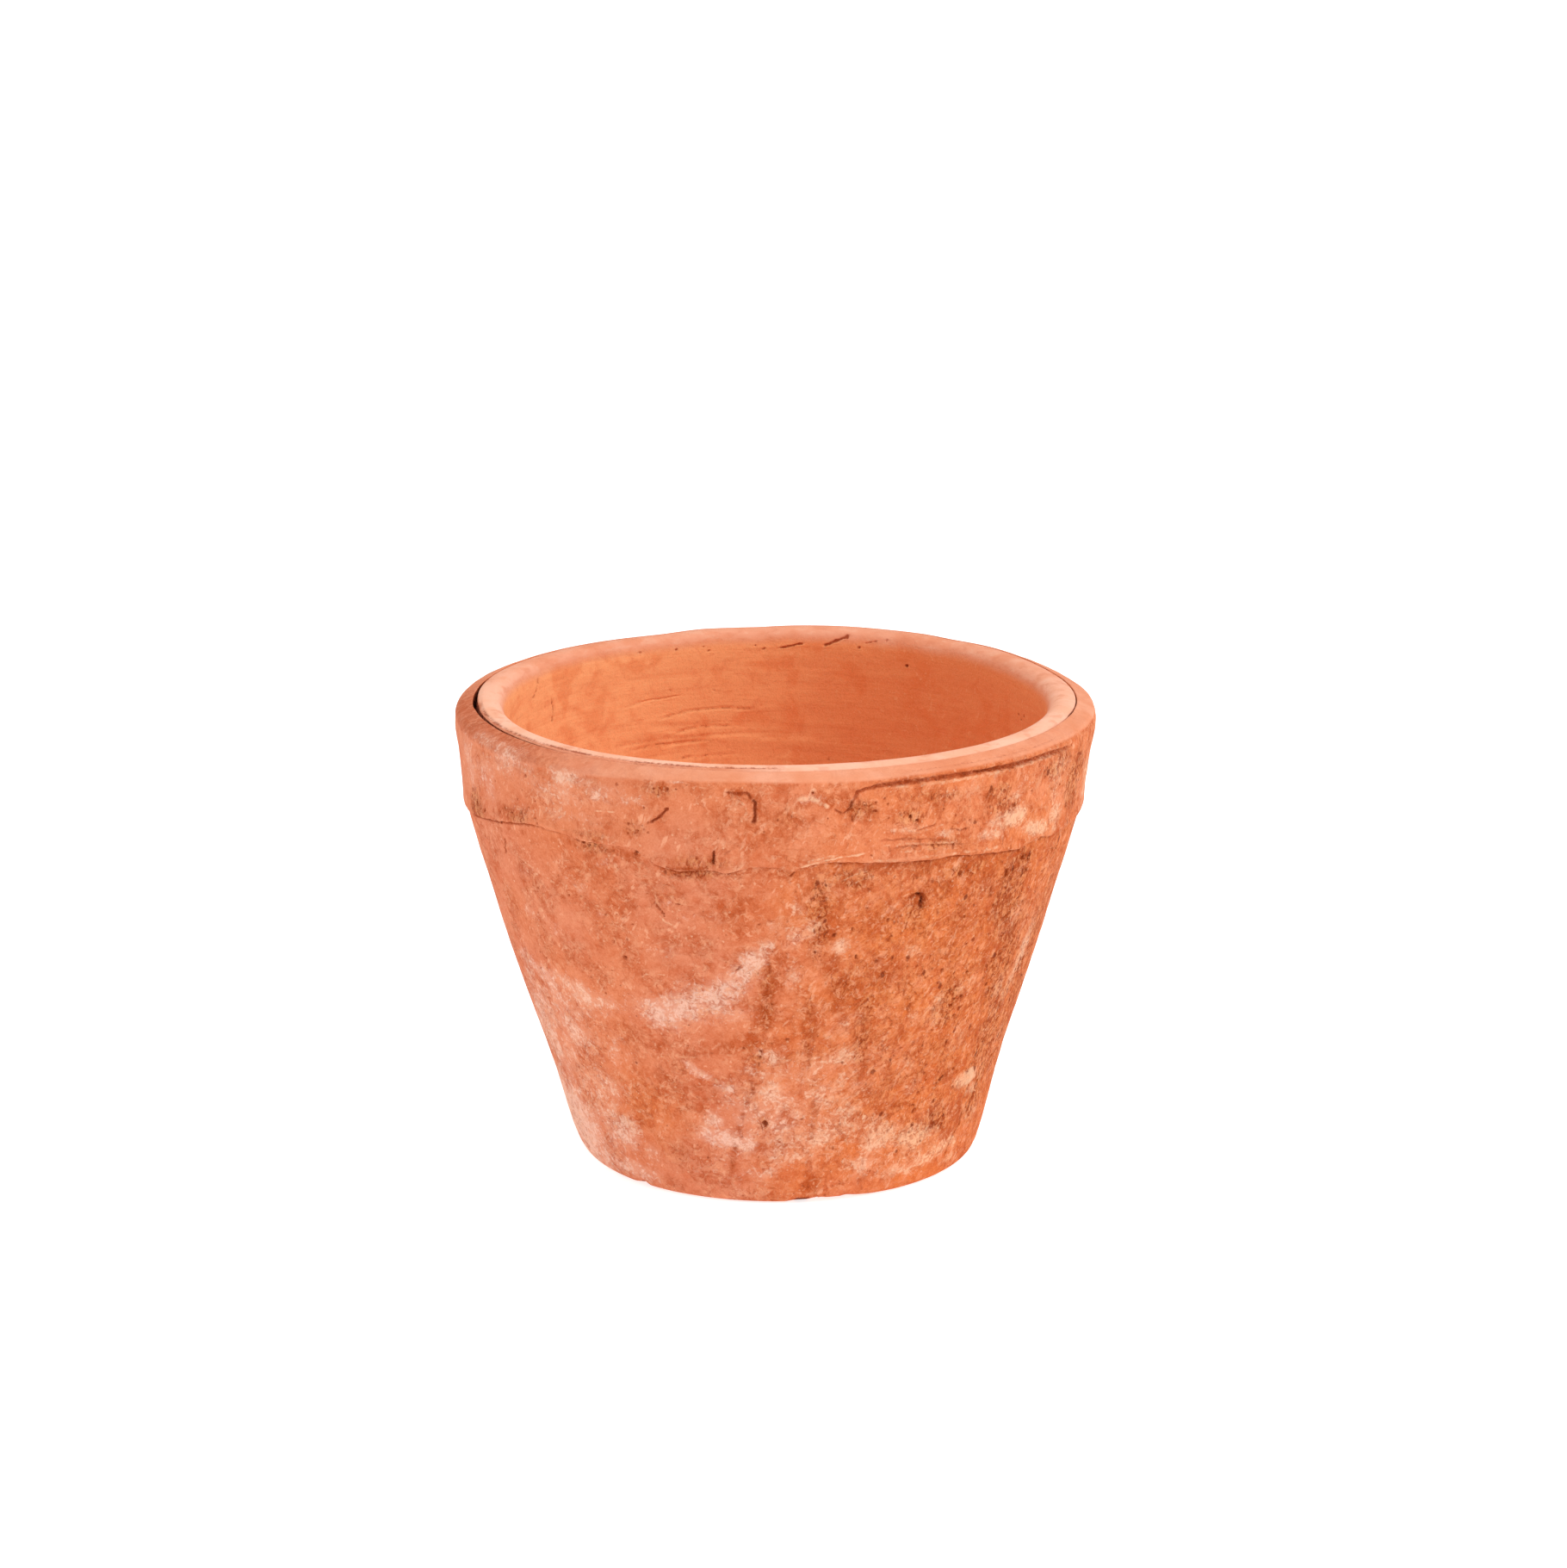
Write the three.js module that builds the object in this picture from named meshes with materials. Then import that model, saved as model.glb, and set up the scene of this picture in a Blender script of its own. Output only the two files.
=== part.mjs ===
// Hand-thrown terracotta flowerpot with an applied rim band.
// Units are millimetres. +Z is up, the origin is the centre of the flat underside,
// and -Y is the side that faces the viewer.
//
// The pot is two pieces of clay, joined before firing:
//   pot_body  the thrown vessel: floor with a drainage hole, conical wall, upright neck and lip
//   rim_band  the strip of clay wrapped round the neck, whose seam shows on top of the rim
import * as THREE from "three";

// ---- Driving dimensions ----
const RIM_RADIUS = 100; // widest point of the band, so the pot is 200 mm across
const HEIGHT = 147; // underside to the crest of the lip
const FOOT_RADIUS = 63.6; // outside of the wall just above the foot's rounding
const FOOT_ROUND = 3; // rounding of the foot's edge
const FLOOR_THICKNESS = 11.5;
const DRAIN_RADIUS = 11; // drainage hole, 22 mm across
const NECK_START = 117; // height where the cone turns inwards, behind the band's lower edge
const NECK_RADIUS = 96.9; // outside of the neck at its widest
const SEAM_RADIUS = 93.2; // outside of the body at the seam on top of the rim
const MOUTH_RADIUS = 84.3; // narrowest point of the mouth
const SEAM_GAP = 0.3; // between the two pieces of clay
const SEGMENTS = 64;

// ---- The body's outside, from the foot to the seam: [radius, height] ----
const WALL = [
  [FOOT_RADIUS + 0.9, 6],
  [66.3, 11.5],
  [72.2, 33.5],
  [76.9, 48],
  [81.3, 61.5],
  [85.6, 76],
  [89.5, 89.5],
  [92.8, 101.5],
  [95.3, 111],
  [96.3, 114.4],
];
const NECK = [
  [NECK_RADIUS, NECK_START],
  [96.6, 120.5],
  [95.7, 126],
  [94.7, 132.5],
  [93.9, 140],
  [SEAM_RADIUS, HEIGHT - 0.9],
];

// Quarter of an ellipse from one point to another, turning from vertical to level or back.
function bend(from, to, steps, startsLevel) {
  const points = [];
  for (let i = 1; i <= steps; i++) {
    const a = (i / steps) * (Math.PI / 2);
    const [u, v] = startsLevel
      ? [Math.sin(a), 1 - Math.cos(a)]
      : [1 - Math.cos(a), Math.sin(a)];
    points.push([from[0] + (to[0] - from[0]) * u, from[1] + (to[1] - from[1]) * v]);
  }
  return points;
}

// A closed [radius, height] loop turned about +Z.
function turned(loop, segments = SEGMENTS) {
  const points = loop.map(([r, z]) => new THREE.Vector2(r, z));
  points.push(points[0].clone());
  const geometry = new THREE.LatheGeometry(points, segments);
  geometry.rotateX(Math.PI / 2); // the lathe turns about +Y, the pot stands on +Z
  return geometry;
}

// ---- pot_body ----
const foot = bend([FOOT_RADIUS - FOOT_ROUND, 0], [FOOT_RADIUS, FOOT_ROUND], 5, true);
const lip = [
  [91.6, HEIGHT - 0.25],
  [89.4, HEIGHT],
  [87.6, HEIGHT - 0.35],
  [86.1, HEIGHT - 1.3],
  [85.1, HEIGHT - 2.8],
  [84.5, HEIGHT - 4.8],
];
const inside = [
  [MOUTH_RADIUS, 138.5],
  [MOUTH_RADIUS + 0.2, 130],
  [MOUTH_RADIUS + 0.1, 121],
  [83.9, 112],
  [82.6, 102],
  [79.7, 90],
  [75.6, 76],
  [71.2, 61.5],
  [66.6, 47],
  [62, 33],
  [59, 24],
];
const floorCorner = bend([58, 20.5], [48.5, FLOOR_THICKNESS], 5, false);
const drain = [
  [DRAIN_RADIUS + 1.2, FLOOR_THICKNESS],
  [DRAIN_RADIUS, FLOOR_THICKNESS - 1.2],
  [DRAIN_RADIUS, 1],
  [DRAIN_RADIUS + 1, 0],
];
const bodyLoop = [
  [FOOT_RADIUS - FOOT_ROUND, 0],
  ...foot,
  ...WALL,
  ...NECK,
  ...lip,
  ...inside,
  [58, 20.5],
  ...floorCorner,
  ...drain,
];

// ---- rim_band ----
// The body's outside at a height, read along its straight facets.
const outside = [...WALL, ...NECK];
function bodyRadius(z) {
  for (let i = 1; i < outside.length; i++) {
    const [r0, z0] = outside[i - 1];
    const [r1, z1] = outside[i];
    if (z <= z1) return r0 + ((r1 - r0) * (z - z0)) / (z1 - z0);
  }
  return SEAM_RADIUS;
}

// Height of the band's torn lower edge, by the angle from the front (-Y), positive to the right (+X).
const EDGE = [
  [-180, 116.5], [-150, 115], [-120, 117], [-96, 114], [-75, 115], [-60, 119],
  [-46, 121.3], [-25, 121.1], [-20, 117], [-8, 117.4], [8, 119.2], [17, 118.6],
  [30, 117.2], [41, 115.2], [53, 115.8], [65, 113.8], [90, 113.4], [120, 116],
  [150, 117.5], [180, 116.5],
];
function edgeHeight(angle) {
  const a = THREE.MathUtils.euclideanModulo(angle + 180, 360) - 180;
  for (let i = 1; i < EDGE.length; i++) {
    const [a0, z0] = EDGE[i - 1];
    const [a1, z1] = EDGE[i];
    if (a <= a1) {
      const t = (a - a0) / (a1 - a0);
      return z0 + (z1 - z0) * t * t * (3 - 2 * t);
    }
  }
  return EDGE[0][1];
}

const NOMINAL_EDGE = 117;
const FIXED_FROM = 128; // above this height the band doesn't follow its torn edge
const bandLoop = [
  [NECK_RADIUS + SEAM_GAP + 0.25, NOMINAL_EDGE],
  [97.65, NOMINAL_EDGE + 0.6],
  [97.9, NOMINAL_EDGE + 2.4],
  [98.15, 123],
  [98.6, FIXED_FROM],
  [99.1, 132.5],
  [99.7, 136.2],
  [RIM_RADIUS, 139.4],
  [99.7, 141.6],
  [98.6, 143.6],
  [96.9, 145.2],
  [95.2, 146],
  [SEAM_RADIUS + SEAM_GAP + 0.4, HEIGHT - 0.8],
  [SEAM_RADIUS + SEAM_GAP, HEIGHT - 1.5],
  [93.9 + SEAM_GAP, 140],
  [94.7 + SEAM_GAP, 132.5],
  [95.7 + SEAM_GAP, 126],
  [96.6 + SEAM_GAP, 120.5],
];
const bandGeometry = turned(bandLoop);
const place = bandGeometry.getAttribute("position");
for (let i = 0; i < place.count; i++) {
  const x = place.getX(i);
  const y = place.getY(i);
  const z = place.getZ(i);
  if (z >= FIXED_FROM) continue;
  const angle = THREE.MathUtils.radToDeg(Math.atan2(x, -y));
  const share = Math.min(1, (FIXED_FROM - z) / (FIXED_FROM - NOMINAL_EDGE));
  const moved = z + (edgeHeight(angle) - NOMINAL_EDGE) * share;
  const was = Math.hypot(x, y);
  const proud = was - bodyRadius(z); // how far it stands off the body stays as it was
  const now = (bodyRadius(moved) + proud) / was;
  place.setXYZ(i, x * now, y * now, moved);
}

// ---- The pot ----
const clay = new THREE.MeshStandardMaterial({ color: 0xd4774f, roughness: 0.9, metalness: 0 });
const bandClay = new THREE.MeshStandardMaterial({ color: 0xdd8560, roughness: 0.88, metalness: 0 });

const pot = new THREE.Group();
const body = new THREE.Mesh(turned(bodyLoop), clay);
body.name = "pot_body";
const band = new THREE.Mesh(bandGeometry, bandClay);
band.name = "rim_band";
pot.add(body, band);

export default pot;
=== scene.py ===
"""A hand-thrown terracotta flowerpot with an applied rim band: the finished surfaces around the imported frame.

Lengths in the tables are millimetres, and angles are degrees from the front (-Y), positive to the right (+X).
"""

import math

import bpy
import numpy as np
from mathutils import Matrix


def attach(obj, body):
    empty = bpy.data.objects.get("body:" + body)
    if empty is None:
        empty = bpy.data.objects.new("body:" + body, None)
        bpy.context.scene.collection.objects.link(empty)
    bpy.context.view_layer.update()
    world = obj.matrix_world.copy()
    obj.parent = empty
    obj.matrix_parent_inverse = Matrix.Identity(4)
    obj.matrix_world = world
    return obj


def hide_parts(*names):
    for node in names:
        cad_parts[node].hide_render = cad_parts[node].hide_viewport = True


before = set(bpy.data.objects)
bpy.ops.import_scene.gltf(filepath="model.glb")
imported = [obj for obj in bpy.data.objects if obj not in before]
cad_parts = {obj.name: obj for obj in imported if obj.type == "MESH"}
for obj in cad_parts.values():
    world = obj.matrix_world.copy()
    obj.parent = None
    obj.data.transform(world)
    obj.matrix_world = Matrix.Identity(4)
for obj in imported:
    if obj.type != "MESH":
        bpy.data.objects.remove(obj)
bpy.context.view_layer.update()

# ---------------------------------------------------------------- camera
scene = bpy.context.scene
cam_data = bpy.data.cameras.new("camera")
cam = bpy.data.objects.new("camera", cam_data)
scene.collection.objects.link(cam)
cam_data.sensor_width = 36.0
cam_data.sensor_fit = "AUTO"
cam_data.lens = 117.05
cam_data.clip_start = 0.05
cam_data.clip_end = 60.0
cam.location = (0.00244, -1.54363, 0.53786)
cam.rotation_euler = (math.radians(90 - 15.2526), 0.0, 0.0)
scene.camera = cam


# ---------------------------------------------------------------- numbers and noise
def smooth(t):
    t = np.clip(t, 0.0, 1.0)
    return t * t * (3 - 2 * t)


def ramp(x, a, b):
    return smooth((np.asarray(x, float) - a) / (b - a))


def wrap(a):
    return (np.asarray(a, float) + 180.0) % 360.0 - 180.0


def around(table):
    """A periodic function of the angle, smooth through the table's points."""
    t = sorted(table)
    a = np.array([p[0] for p in t], float)
    v = np.array([p[1] for p in t], float)
    a = np.concatenate([a - 360, a, a + 360])
    v = np.concatenate([v, v, v])
    return cubic(a, v)


def cubic(x, y):
    """Monotone cubic through the points, flat beyond the ends."""
    x = np.asarray(x, float)
    y = np.asarray(y, float)
    h = np.diff(x)
    d = np.diff(y) / h
    m = np.zeros_like(y)
    m[0], m[-1] = d[0], d[-1]
    for i in range(1, len(x) - 1):
        if d[i - 1] * d[i] > 0:
            w1, w2 = 2 * h[i] + h[i - 1], h[i] + 2 * h[i - 1]
            m[i] = (w1 + w2) / (w1 / d[i - 1] + w2 / d[i])

    def f(q):
        q = np.clip(np.asarray(q, float), x[0], x[-1])
        i = np.clip(np.searchsorted(x, q, side="right") - 1, 0, len(x) - 2)
        t = (q - x[i]) / h[i]
        return (
            y[i] * (1 + 2 * t) * (1 - t) ** 2
            + m[i] * h[i] * t * (1 - t) ** 2
            + y[i + 1] * t * t * (3 - 2 * t)
            + m[i + 1] * h[i] * t * t * (t - 1)
        )

    return f


def _hash(ix, iy, iz, seed):
    h = (
        ix.astype(np.uint32) * np.uint32(374761393)
        + iy.astype(np.uint32) * np.uint32(668265263)
        + iz.astype(np.uint32) * np.uint32(2147483647)
        + np.uint32((seed * 974634777) & 0xFFFFFFFF)
    )
    h = (h ^ (h >> np.uint32(13))) * np.uint32(1274126177)
    h = (h ^ (h >> np.uint32(16))) * np.uint32(2246822519)
    return h ^ (h >> np.uint32(15))


def noise(p, size, seed=0, squash=(1, 1, 1)):
    """Gradient noise, about -1 to 1, with features about size across."""
    with np.errstate(over="ignore"):
        q = p / size * np.array(squash, float)
        i = np.floor(q).astype(np.int64)
        f = q - i
        u = f * f * f * (f * (f * 6 - 15) + 10)
        out = np.zeros(len(p))
        for dx in (0, 1):
            for dy in (0, 1):
                for dz in (0, 1):
                    h = _hash(i[:, 0] + dx, i[:, 1] + dy, i[:, 2] + dz, seed)
                    gx = (h & np.uint32(1023)).astype(float) / 511.5 - 1
                    gy = ((h >> np.uint32(10)) & np.uint32(1023)).astype(float) / 511.5 - 1
                    gz = ((h >> np.uint32(20)) & np.uint32(1023)).astype(float) / 511.5 - 1
                    dot = gx * (f[:, 0] - dx) + gy * (f[:, 1] - dy) + gz * (f[:, 2] - dz)
                    w = (
                        (u[:, 0] if dx else 1 - u[:, 0])
                        * (u[:, 1] if dy else 1 - u[:, 1])
                        * (u[:, 2] if dz else 1 - u[:, 2])
                    )
                    out += w * dot
    return out * 1.3


def fbm(p, size, octaves=3, seed=0, squash=(1, 1, 1), gain=0.5):
    out = np.zeros(len(p))
    amp, total = 1.0, 0.0
    for k in range(octaves):
        out += amp * noise(p, size / 2**k, seed + 17 * k, squash)
        total += amp
        amp *= gain
    return out / total


# ---------------------------------------------------------------- the pot's form
CREST = 147.0
NOMINAL_EDGE = 117.0

cone = cubic(
    [0, 2.24, 11.2, 22.0, 33.7, 47.5, 61.7, 76.0, 89.7, 101.0, 112.2, 118.0, 124.0],
    [62.6, 63.3, 66.1, 68.9, 72.2, 76.7, 81.3, 85.6, 89.5, 92.8, 95.8, 97.2, 98.4],
)

# Height of the band's torn lower edge.
edge_low = around(
    [
        (-165, 115.6), (-150, 115.0), (-135, 116.2), (-120, 117.2), (-108, 115.4), (-96, 114.0), (-84, 114.2),
        (-75.4, 115.0), (-68, 116.9), (-60.1, 119.1), (-52, 121.6), (-46.4, 122.9), (-42.6, 122.6), (-38.4, 122.2),
        (-34.6, 121.4), (-30, 121.6), (-27, 121.9), (-24.9, 121.4), (-22.5, 118.9), (-19.3, 116.5), (-16.9, 115.8),
        (-14.5, 116.3), (-11.4, 116.8), (-8.3, 116.0), (-5.8, 117.0), (-3.5, 118.1), (-0.7, 118.2), (1.5, 117.3),
        (3.0, 116.5), (4.6, 117.5), (6.8, 118.8), (9.1, 119.5), (12.3, 119.3), (17.2, 118.7), (21.3, 118.0),
        (25.8, 117.6), (29.5, 117.2), (32.7, 117.5), (36.7, 116.5), (41, 115.6), (45.6, 114.6), (50.3, 113.8),
        (55.4, 115.2), (62.7, 113.4), (69, 113.3), (80, 113.6), (92, 114.6), (104, 116.6), (116, 115.4),
        (130, 117.0), (142, 116.0), (156, 117.6), (168, 116.2),
    ]
)
# How far the band's lower edge stands off the wall.
proud = around(
    [
        (-170, 0.9), (-140, 0.5), (-110, 0.9), (-85, 0.75), (-70, 0.6), (-55, 0.35), (-40, 0.4), (-28, 0.5),
        (-21, 1.0), (-14, 1.25), (-7, 0.9), (-1, 0.7), (4, 0.6), (9, 1.3), (18, 1.6), (30, 1.5), (40, 1.2),
        (48, 0.8), (58, 0.7), (75, 0.7), (90, 0.8), (110, 1.3), (135, 0.7), (155, 1.2),
    ]
)
# Width of the open seam on top of the rim.
crack = around(
    [
        (-180, 0.05), (-125, 0.05), (-108, 0.08), (-102, 0.25), (-96, 0.5), (-91, 0.95), (-86, 1.3), (-82.5, 1.55), (-79, 1.05),
        (-74, 0.95), (-69, 0.7), (-63, 0.72), (-57, 0.42), (-50, 0.34), (-44, 0.22), (-36, 0.16), (-24, 0.12), (-10, 0.1),
        (10, 0.08), (30, 0.07), (50, 0.1), (60, 0.14), (68, 0.14), (73, 0.24), (76, 0.42), (79, 0.3), (84, 0.24), (90, 0.16),
        (96, 0.12), (104, 0.05), (140, 0.05),
    ]
)
NECK_Z = np.array([132.5, 140.0, 145.0, 146.2, 148.0])
NECK_R = np.array([94.9, 94.2, 93.75, 93.65, 93.6])


def body_out(z, a):
    """Radius of the vessel's outside: the cone up to the band's lower edge, then the neck that the band hides."""
    ze = edge_low(a)
    low = cone(np.minimum(z, ze))
    t = (z - ze) / (132.5 - ze)
    mid = low + (94.9 - low) * smooth(np.clip(t * 1.02 - 0.02, 0, 1))
    return np.where(z <= ze, low, np.where(z < 132.5, mid, np.interp(z, NECK_Z, NECK_R)))


def rim_lift(a):
    """How much higher or lower the rim is than level."""
    return _rim_lift(a)


_rim_lift = around(
    [
        (-175, -1.15), (-166, -1.1), (-155, -1.8), (-145, -1.6), (-133, -1.3), (-110, -0.9), (-90, -0.7), (-45, -0.7), (-20, -0.25), (0, 0.0),
        (25, -0.05), (50, -0.25), (75, -0.5), (95, -1.1), (110, -1.4), (124, -1.1), (134, -0.95), (142, -1.15), (150, -0.7), (158, -0.6), (166, -0.4), (176, -0.6),
    ]
)

# Room for small departures from a true cone of revolution, at the left and right of the front view; both tables are
# zero.
SIDE_Z = [0, 6, 12, 24, 36, 48, 60, 72, 84, 96, 108, 114, 120, 128, 134, 140, 147]
SIDE_LEFT = [0.0] * 17
SIDE_RIGHT = [0.0] * 17
side_left = cubic(SIDE_Z, SIDE_LEFT)
side_right = cubic(SIDE_Z, SIDE_RIGHT)


def lean(z):
    t = (z - 70.0) / 70.0
    return -0.414 * t + 0.992 * t * t - 0.7


def shape(x, y, z):
    """The whole pot's hand-made unevenness, alike for both pieces."""
    r = np.hypot(x, y)
    a = np.degrees(np.arctan2(x, -y))
    up = np.clip(z / CREST, 0, 1)
    dr = side_left(z) * np.exp(-((wrap(a + 86) / 38.0) ** 2)) + side_right(z) * np.exp(-((wrap(a - 86) / 38.0) ** 2))
    rad = np.radians(a)
    back = ramp(np.abs(wrap(a)), 95, 150)
    dr = dr + up * (0.55 * np.sin(3 * rad + 0.6) + 0.3 * np.sin(5 * rad + 2.0)) * back + 0.25 * np.sin(2 * rad + 1.1 + z / 60) * back
    dr = dr * ramp(r, 8, 40)
    k = (r + dr) / np.maximum(r, 1e-6)
    return x * k + lean(z), y * k, z + rim_lift(a) * up**3


# ---------------------------------------------------------------- marks in the clay
def seg_dist(u, v, pts):
    """Distance from points to a line through pts, with the share of the way along it, and the side."""
    pts = np.asarray(pts, float)
    seg = np.hypot(*np.diff(pts, axis=0).T)
    total = seg.sum()
    best = np.full(len(u), 1e9)
    along = np.zeros(len(u))
    side = np.zeros(len(u))
    run = 0.0
    for (x0, y0), (x1, y1), ln in zip(pts[:-1], pts[1:], seg):
        dx, dy = (x1 - x0) / ln, (y1 - y0) / ln
        t = np.clip((u - x0) * dx + (v - y0) * dy, 0, ln)
        d = np.hypot(u - x0 - t * dx, v - y0 - t * dy)
        near = d < best
        best = np.where(near, d, best)
        along = np.where(near, (run + t) / total, along)
        side = np.where(near, np.sign((v - y0) * dx - (u - x0) * dy), side)
        run += ln
    return best, along, side


class Surface:
    """Vertices of one kind of surface in flat millimetres: u along the girth and v across it."""

    def __init__(self, a, v, radius, pick, stretch=1.0, points=None):
        self.a, self.v, self.pick, self.stretch = a, v, pick, stretch
        self.radius = radius
        # the outlines of marks are ragged: everything is placed through a small warp
        self.wu = 0.34 * noise(points, 1.9, 301) + 0.16 * noise(points, 0.8, 303)
        self.wv = 0.34 * noise(points, 1.9, 305) + 0.16 * noise(points, 0.8, 307)

    def local(self, pts, reach):
        a0 = np.mean([p[0] for p in pts])
        v0 = np.mean([p[1] for p in pts])
        r0 = float(self.radius(v0))
        k = math.pi / 180 * r0
        q = [((p[0] - a0) * k, (p[1] - v0) * self.stretch) for p in pts]
        lo = np.min(q, axis=0) - reach
        hi = np.max(q, axis=0) + reach
        u = wrap(self.a - a0) * k
        v = (self.v - v0) * self.stretch
        i = np.nonzero(self.pick & (u > lo[0]) & (u < hi[0]) & (v > lo[1]) & (v < hi[1]))[0]
        return i, u[i] + self.wu[i], v[i] + self.wv[i], q


def pit(s, d, dark, a, v, size, depth, ink, tall=1.0, tilt=0.0, rim=0.12):
    i, u, w, _ = s.local([(a, v)], size * max(1, tall) * 2.2)
    if not len(i):
        return
    c, n = math.cos(math.radians(tilt)), math.sin(math.radians(tilt))
    x, y = u * c + w * n, -u * n + w * c
    q = np.hypot(x / size, y / (size * tall))
    bowl = np.clip(1 - q * q, 0, 1) ** 1.3
    d[i] += -depth * bowl + depth * rim * np.exp(-(((q - 1.25) / 0.28) ** 2))
    # the darkness is dirt and painted shade in the hollow
    dark[i] = np.maximum(dark[i], ink * np.clip(1.25 - q, 0, 1) ** 0.8)


def groove(s, d, dark, pts, width, depth, ink, rim=0.2, ends=0.12, key=1):
    """A cut with a burr along it. It fades at its ends and its width wanders."""
    i, u, w, q = s.local(pts, width * 3)
    if not len(i):
        return
    dist, t, side = seg_dist(u, w, q)
    fade = smooth(np.minimum(t, 1 - t) / ends * 0.9 + 0.25)
    wob = 1 + 0.3 * np.sin(t * 23 + key * 1.7) * np.sin(t * 9.1 + key)
    k = dist / (width * wob * (0.55 + 0.45 * fade))
    cut = np.clip(1 - k * k, 0, 1) ** 1.2 * fade
    d[i] += -depth * cut + depth * rim * fade * np.exp(-(((k - 1.35) / 0.35) ** 2)) * (0.5 + 0.5 * side)
    # the darkness is dirt and painted shade in the cut
    dark[i] = np.maximum(dark[i], (ink if ink > 0.93 else 0.8 * ink) * np.clip(1.3 - k, 0, 1) ** 0.8 * fade)


def ridge(s, d, pale, pts, width, height, amount):
    """A burr: clay pushed up along the line, paler than what is round it, partly as a painted highlight."""
    i, u, w, q = s.local(pts, width * 3.2)
    if not len(i):
        return
    dist, t, _ = seg_dist(u, w, q)
    fade = smooth(np.minimum(t, 1 - t) / 0.12 * 0.9 + 0.1) * (0.7 + 0.3 * np.sin(t * 31 + width * 50) * np.sin(t * 13))
    d[i] += height * fade * np.exp(-((dist / width) ** 2) * 1.3)
    pale[i] = np.maximum(pale[i], amount * np.clip(1.3 - dist / width * 0.9, 0, 1) * np.clip(fade * 1.3, 0, 1))


def blob(s, field, a, v, ru, rv, amount, tilt=0.0, hard=1.0):
    """A soft oval patch added to a field, as a maximum."""
    i, u, w, _ = s.local([(a, v)], max(ru, rv) * 1.8)
    if not len(i):
        return
    c, n = math.cos(math.radians(tilt)), math.sin(math.radians(tilt))
    x, y = u * c + w * n, -u * n + w * c
    q = np.hypot(x / ru, y / rv)
    g = amount * np.clip(1.35 - 0.75 * q, 0, 1) ** hard
    field[i] = np.maximum(field[i], g)


def streak(s, field, pts, width, amount):
    i, u, w, q = s.local(pts, width * 3)
    if not len(i):
        return
    dist, t, _ = seg_dist(u, w, q)
    g = amount * np.exp(-((dist / width) ** 2)) * smooth(np.minimum(t, 1 - t) / 0.1 + 0.3)
    field[i] = np.maximum(field[i], g)


# Cuts and nicks in the wall: points (angle, height), half-width, depth, darkness.
WALL_CUTS = [
    ([(-24.2, 121.2), (-24.7, 120.4), (-24.9, 119.6), (-24.6, 118.7)], 0.45, 0.8, 0.95),
    ([(-58.4, 114.0), (-58.9, 111.1), (-59.6, 108.2)], 0.4, 0.7, 0.85),
    ([(-22.5, 104.2), (-21.5, 102.3), (-20.3, 100.1)], 0.36, 0.5, 0.75),
    ([(-7.2, 82.6), (-6.2, 84.4)], 0.38, 0.5, 0.75),
    ([(27.0, 105.9), (28.0, 105.3), (28.5, 104.0), (28.4, 102.3), (28.7, 100.2)], 0.75, 1.3, 1.0),
    ([(25.6, 104.6), (26.6, 105.6), (27.8, 105.4)], 0.7, 0.7, 0.6),
    ([(43.8, 36.7), (44.8, 38.2)], 0.6, 0.9, 1.0),
    ([(51.0, 89.3), (52.3, 90.1), (53.2, 91.1)], 0.6, 0.8, 0.85),
    ([(3.0, 114.6), (3.7, 116.4)], 0.4, 0.5, 0.7),
    ([(-17.9, 114.4), (-16.6, 113.6)], 0.35, 0.4, 0.7),
    ([(-1.8, 108.5), (-1.7, 106.8)], 0.3, 0.35, 0.5),
    ([(67.5, 70.7), (68.0, 67.2)], 0.5, 0.6, 0.8),
    ([(29.4, 66.3), (30.2, 68.0)], 0.45, 0.5, 0.65),
    ([(8.1, 110.8), (9.0, 107.9)], 0.3, 0.4, 0.6),
    ([(65.1, 43.3), (64.3, 41.0)], 0.5, 0.6, 0.8),
    ([(-18.4, 15.7), (-18.0, 14.8)], 0.3, 0.4, 0.55),
    ([(57.4, 21.5), (57.6, 16.9), (54.3, 12.4), (53.3, 6.8)], 0.42, 0.6, 0.85),
    ([(62.5, 31.0), (61.3, 24.5), (59.8, 19.0)], 0.35, 0.4, 0.55),
]
# Fine dark lines that run down the wall: points, half-width, darkness.
WALL_LINES = [
    ([(-0.8, 91.4), (-0.6, 85.1), (-0.9, 78.3), (-1.5, 73.1), (-1.9, 62.7)], 0.42, 0.62),
    ([(7.1, 72.8), (7.2, 64.0), (7.6, 49.3)], 0.45, 0.6),
    ([(9.5, 46.7), (10.0, 37.2), (9.4, 25.5), (9.1, 22.1)], 0.42, 0.45),
    ([(8.7, 17.4), (8.4, 10.1), (8.5, 4.9)], 0.5, 0.5),
    ([(18.9, 69.4), (19.6, 62.6), (20.1, 53.6), (21.4, 43.9), (21.9, 36.1)], 0.45, 0.42),
    ([(23.0, 17.9), (23.1, 10.9), (22.7, 4.3)], 0.45, 0.45),
    ([(-4.2, 50.6), (-5.3, 39.8), (-7.9, 31.2), (-9.8, 23.7), (-11.6, 14.1), (-12.9, 8.6)], 0.42, 0.5),
]
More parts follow.
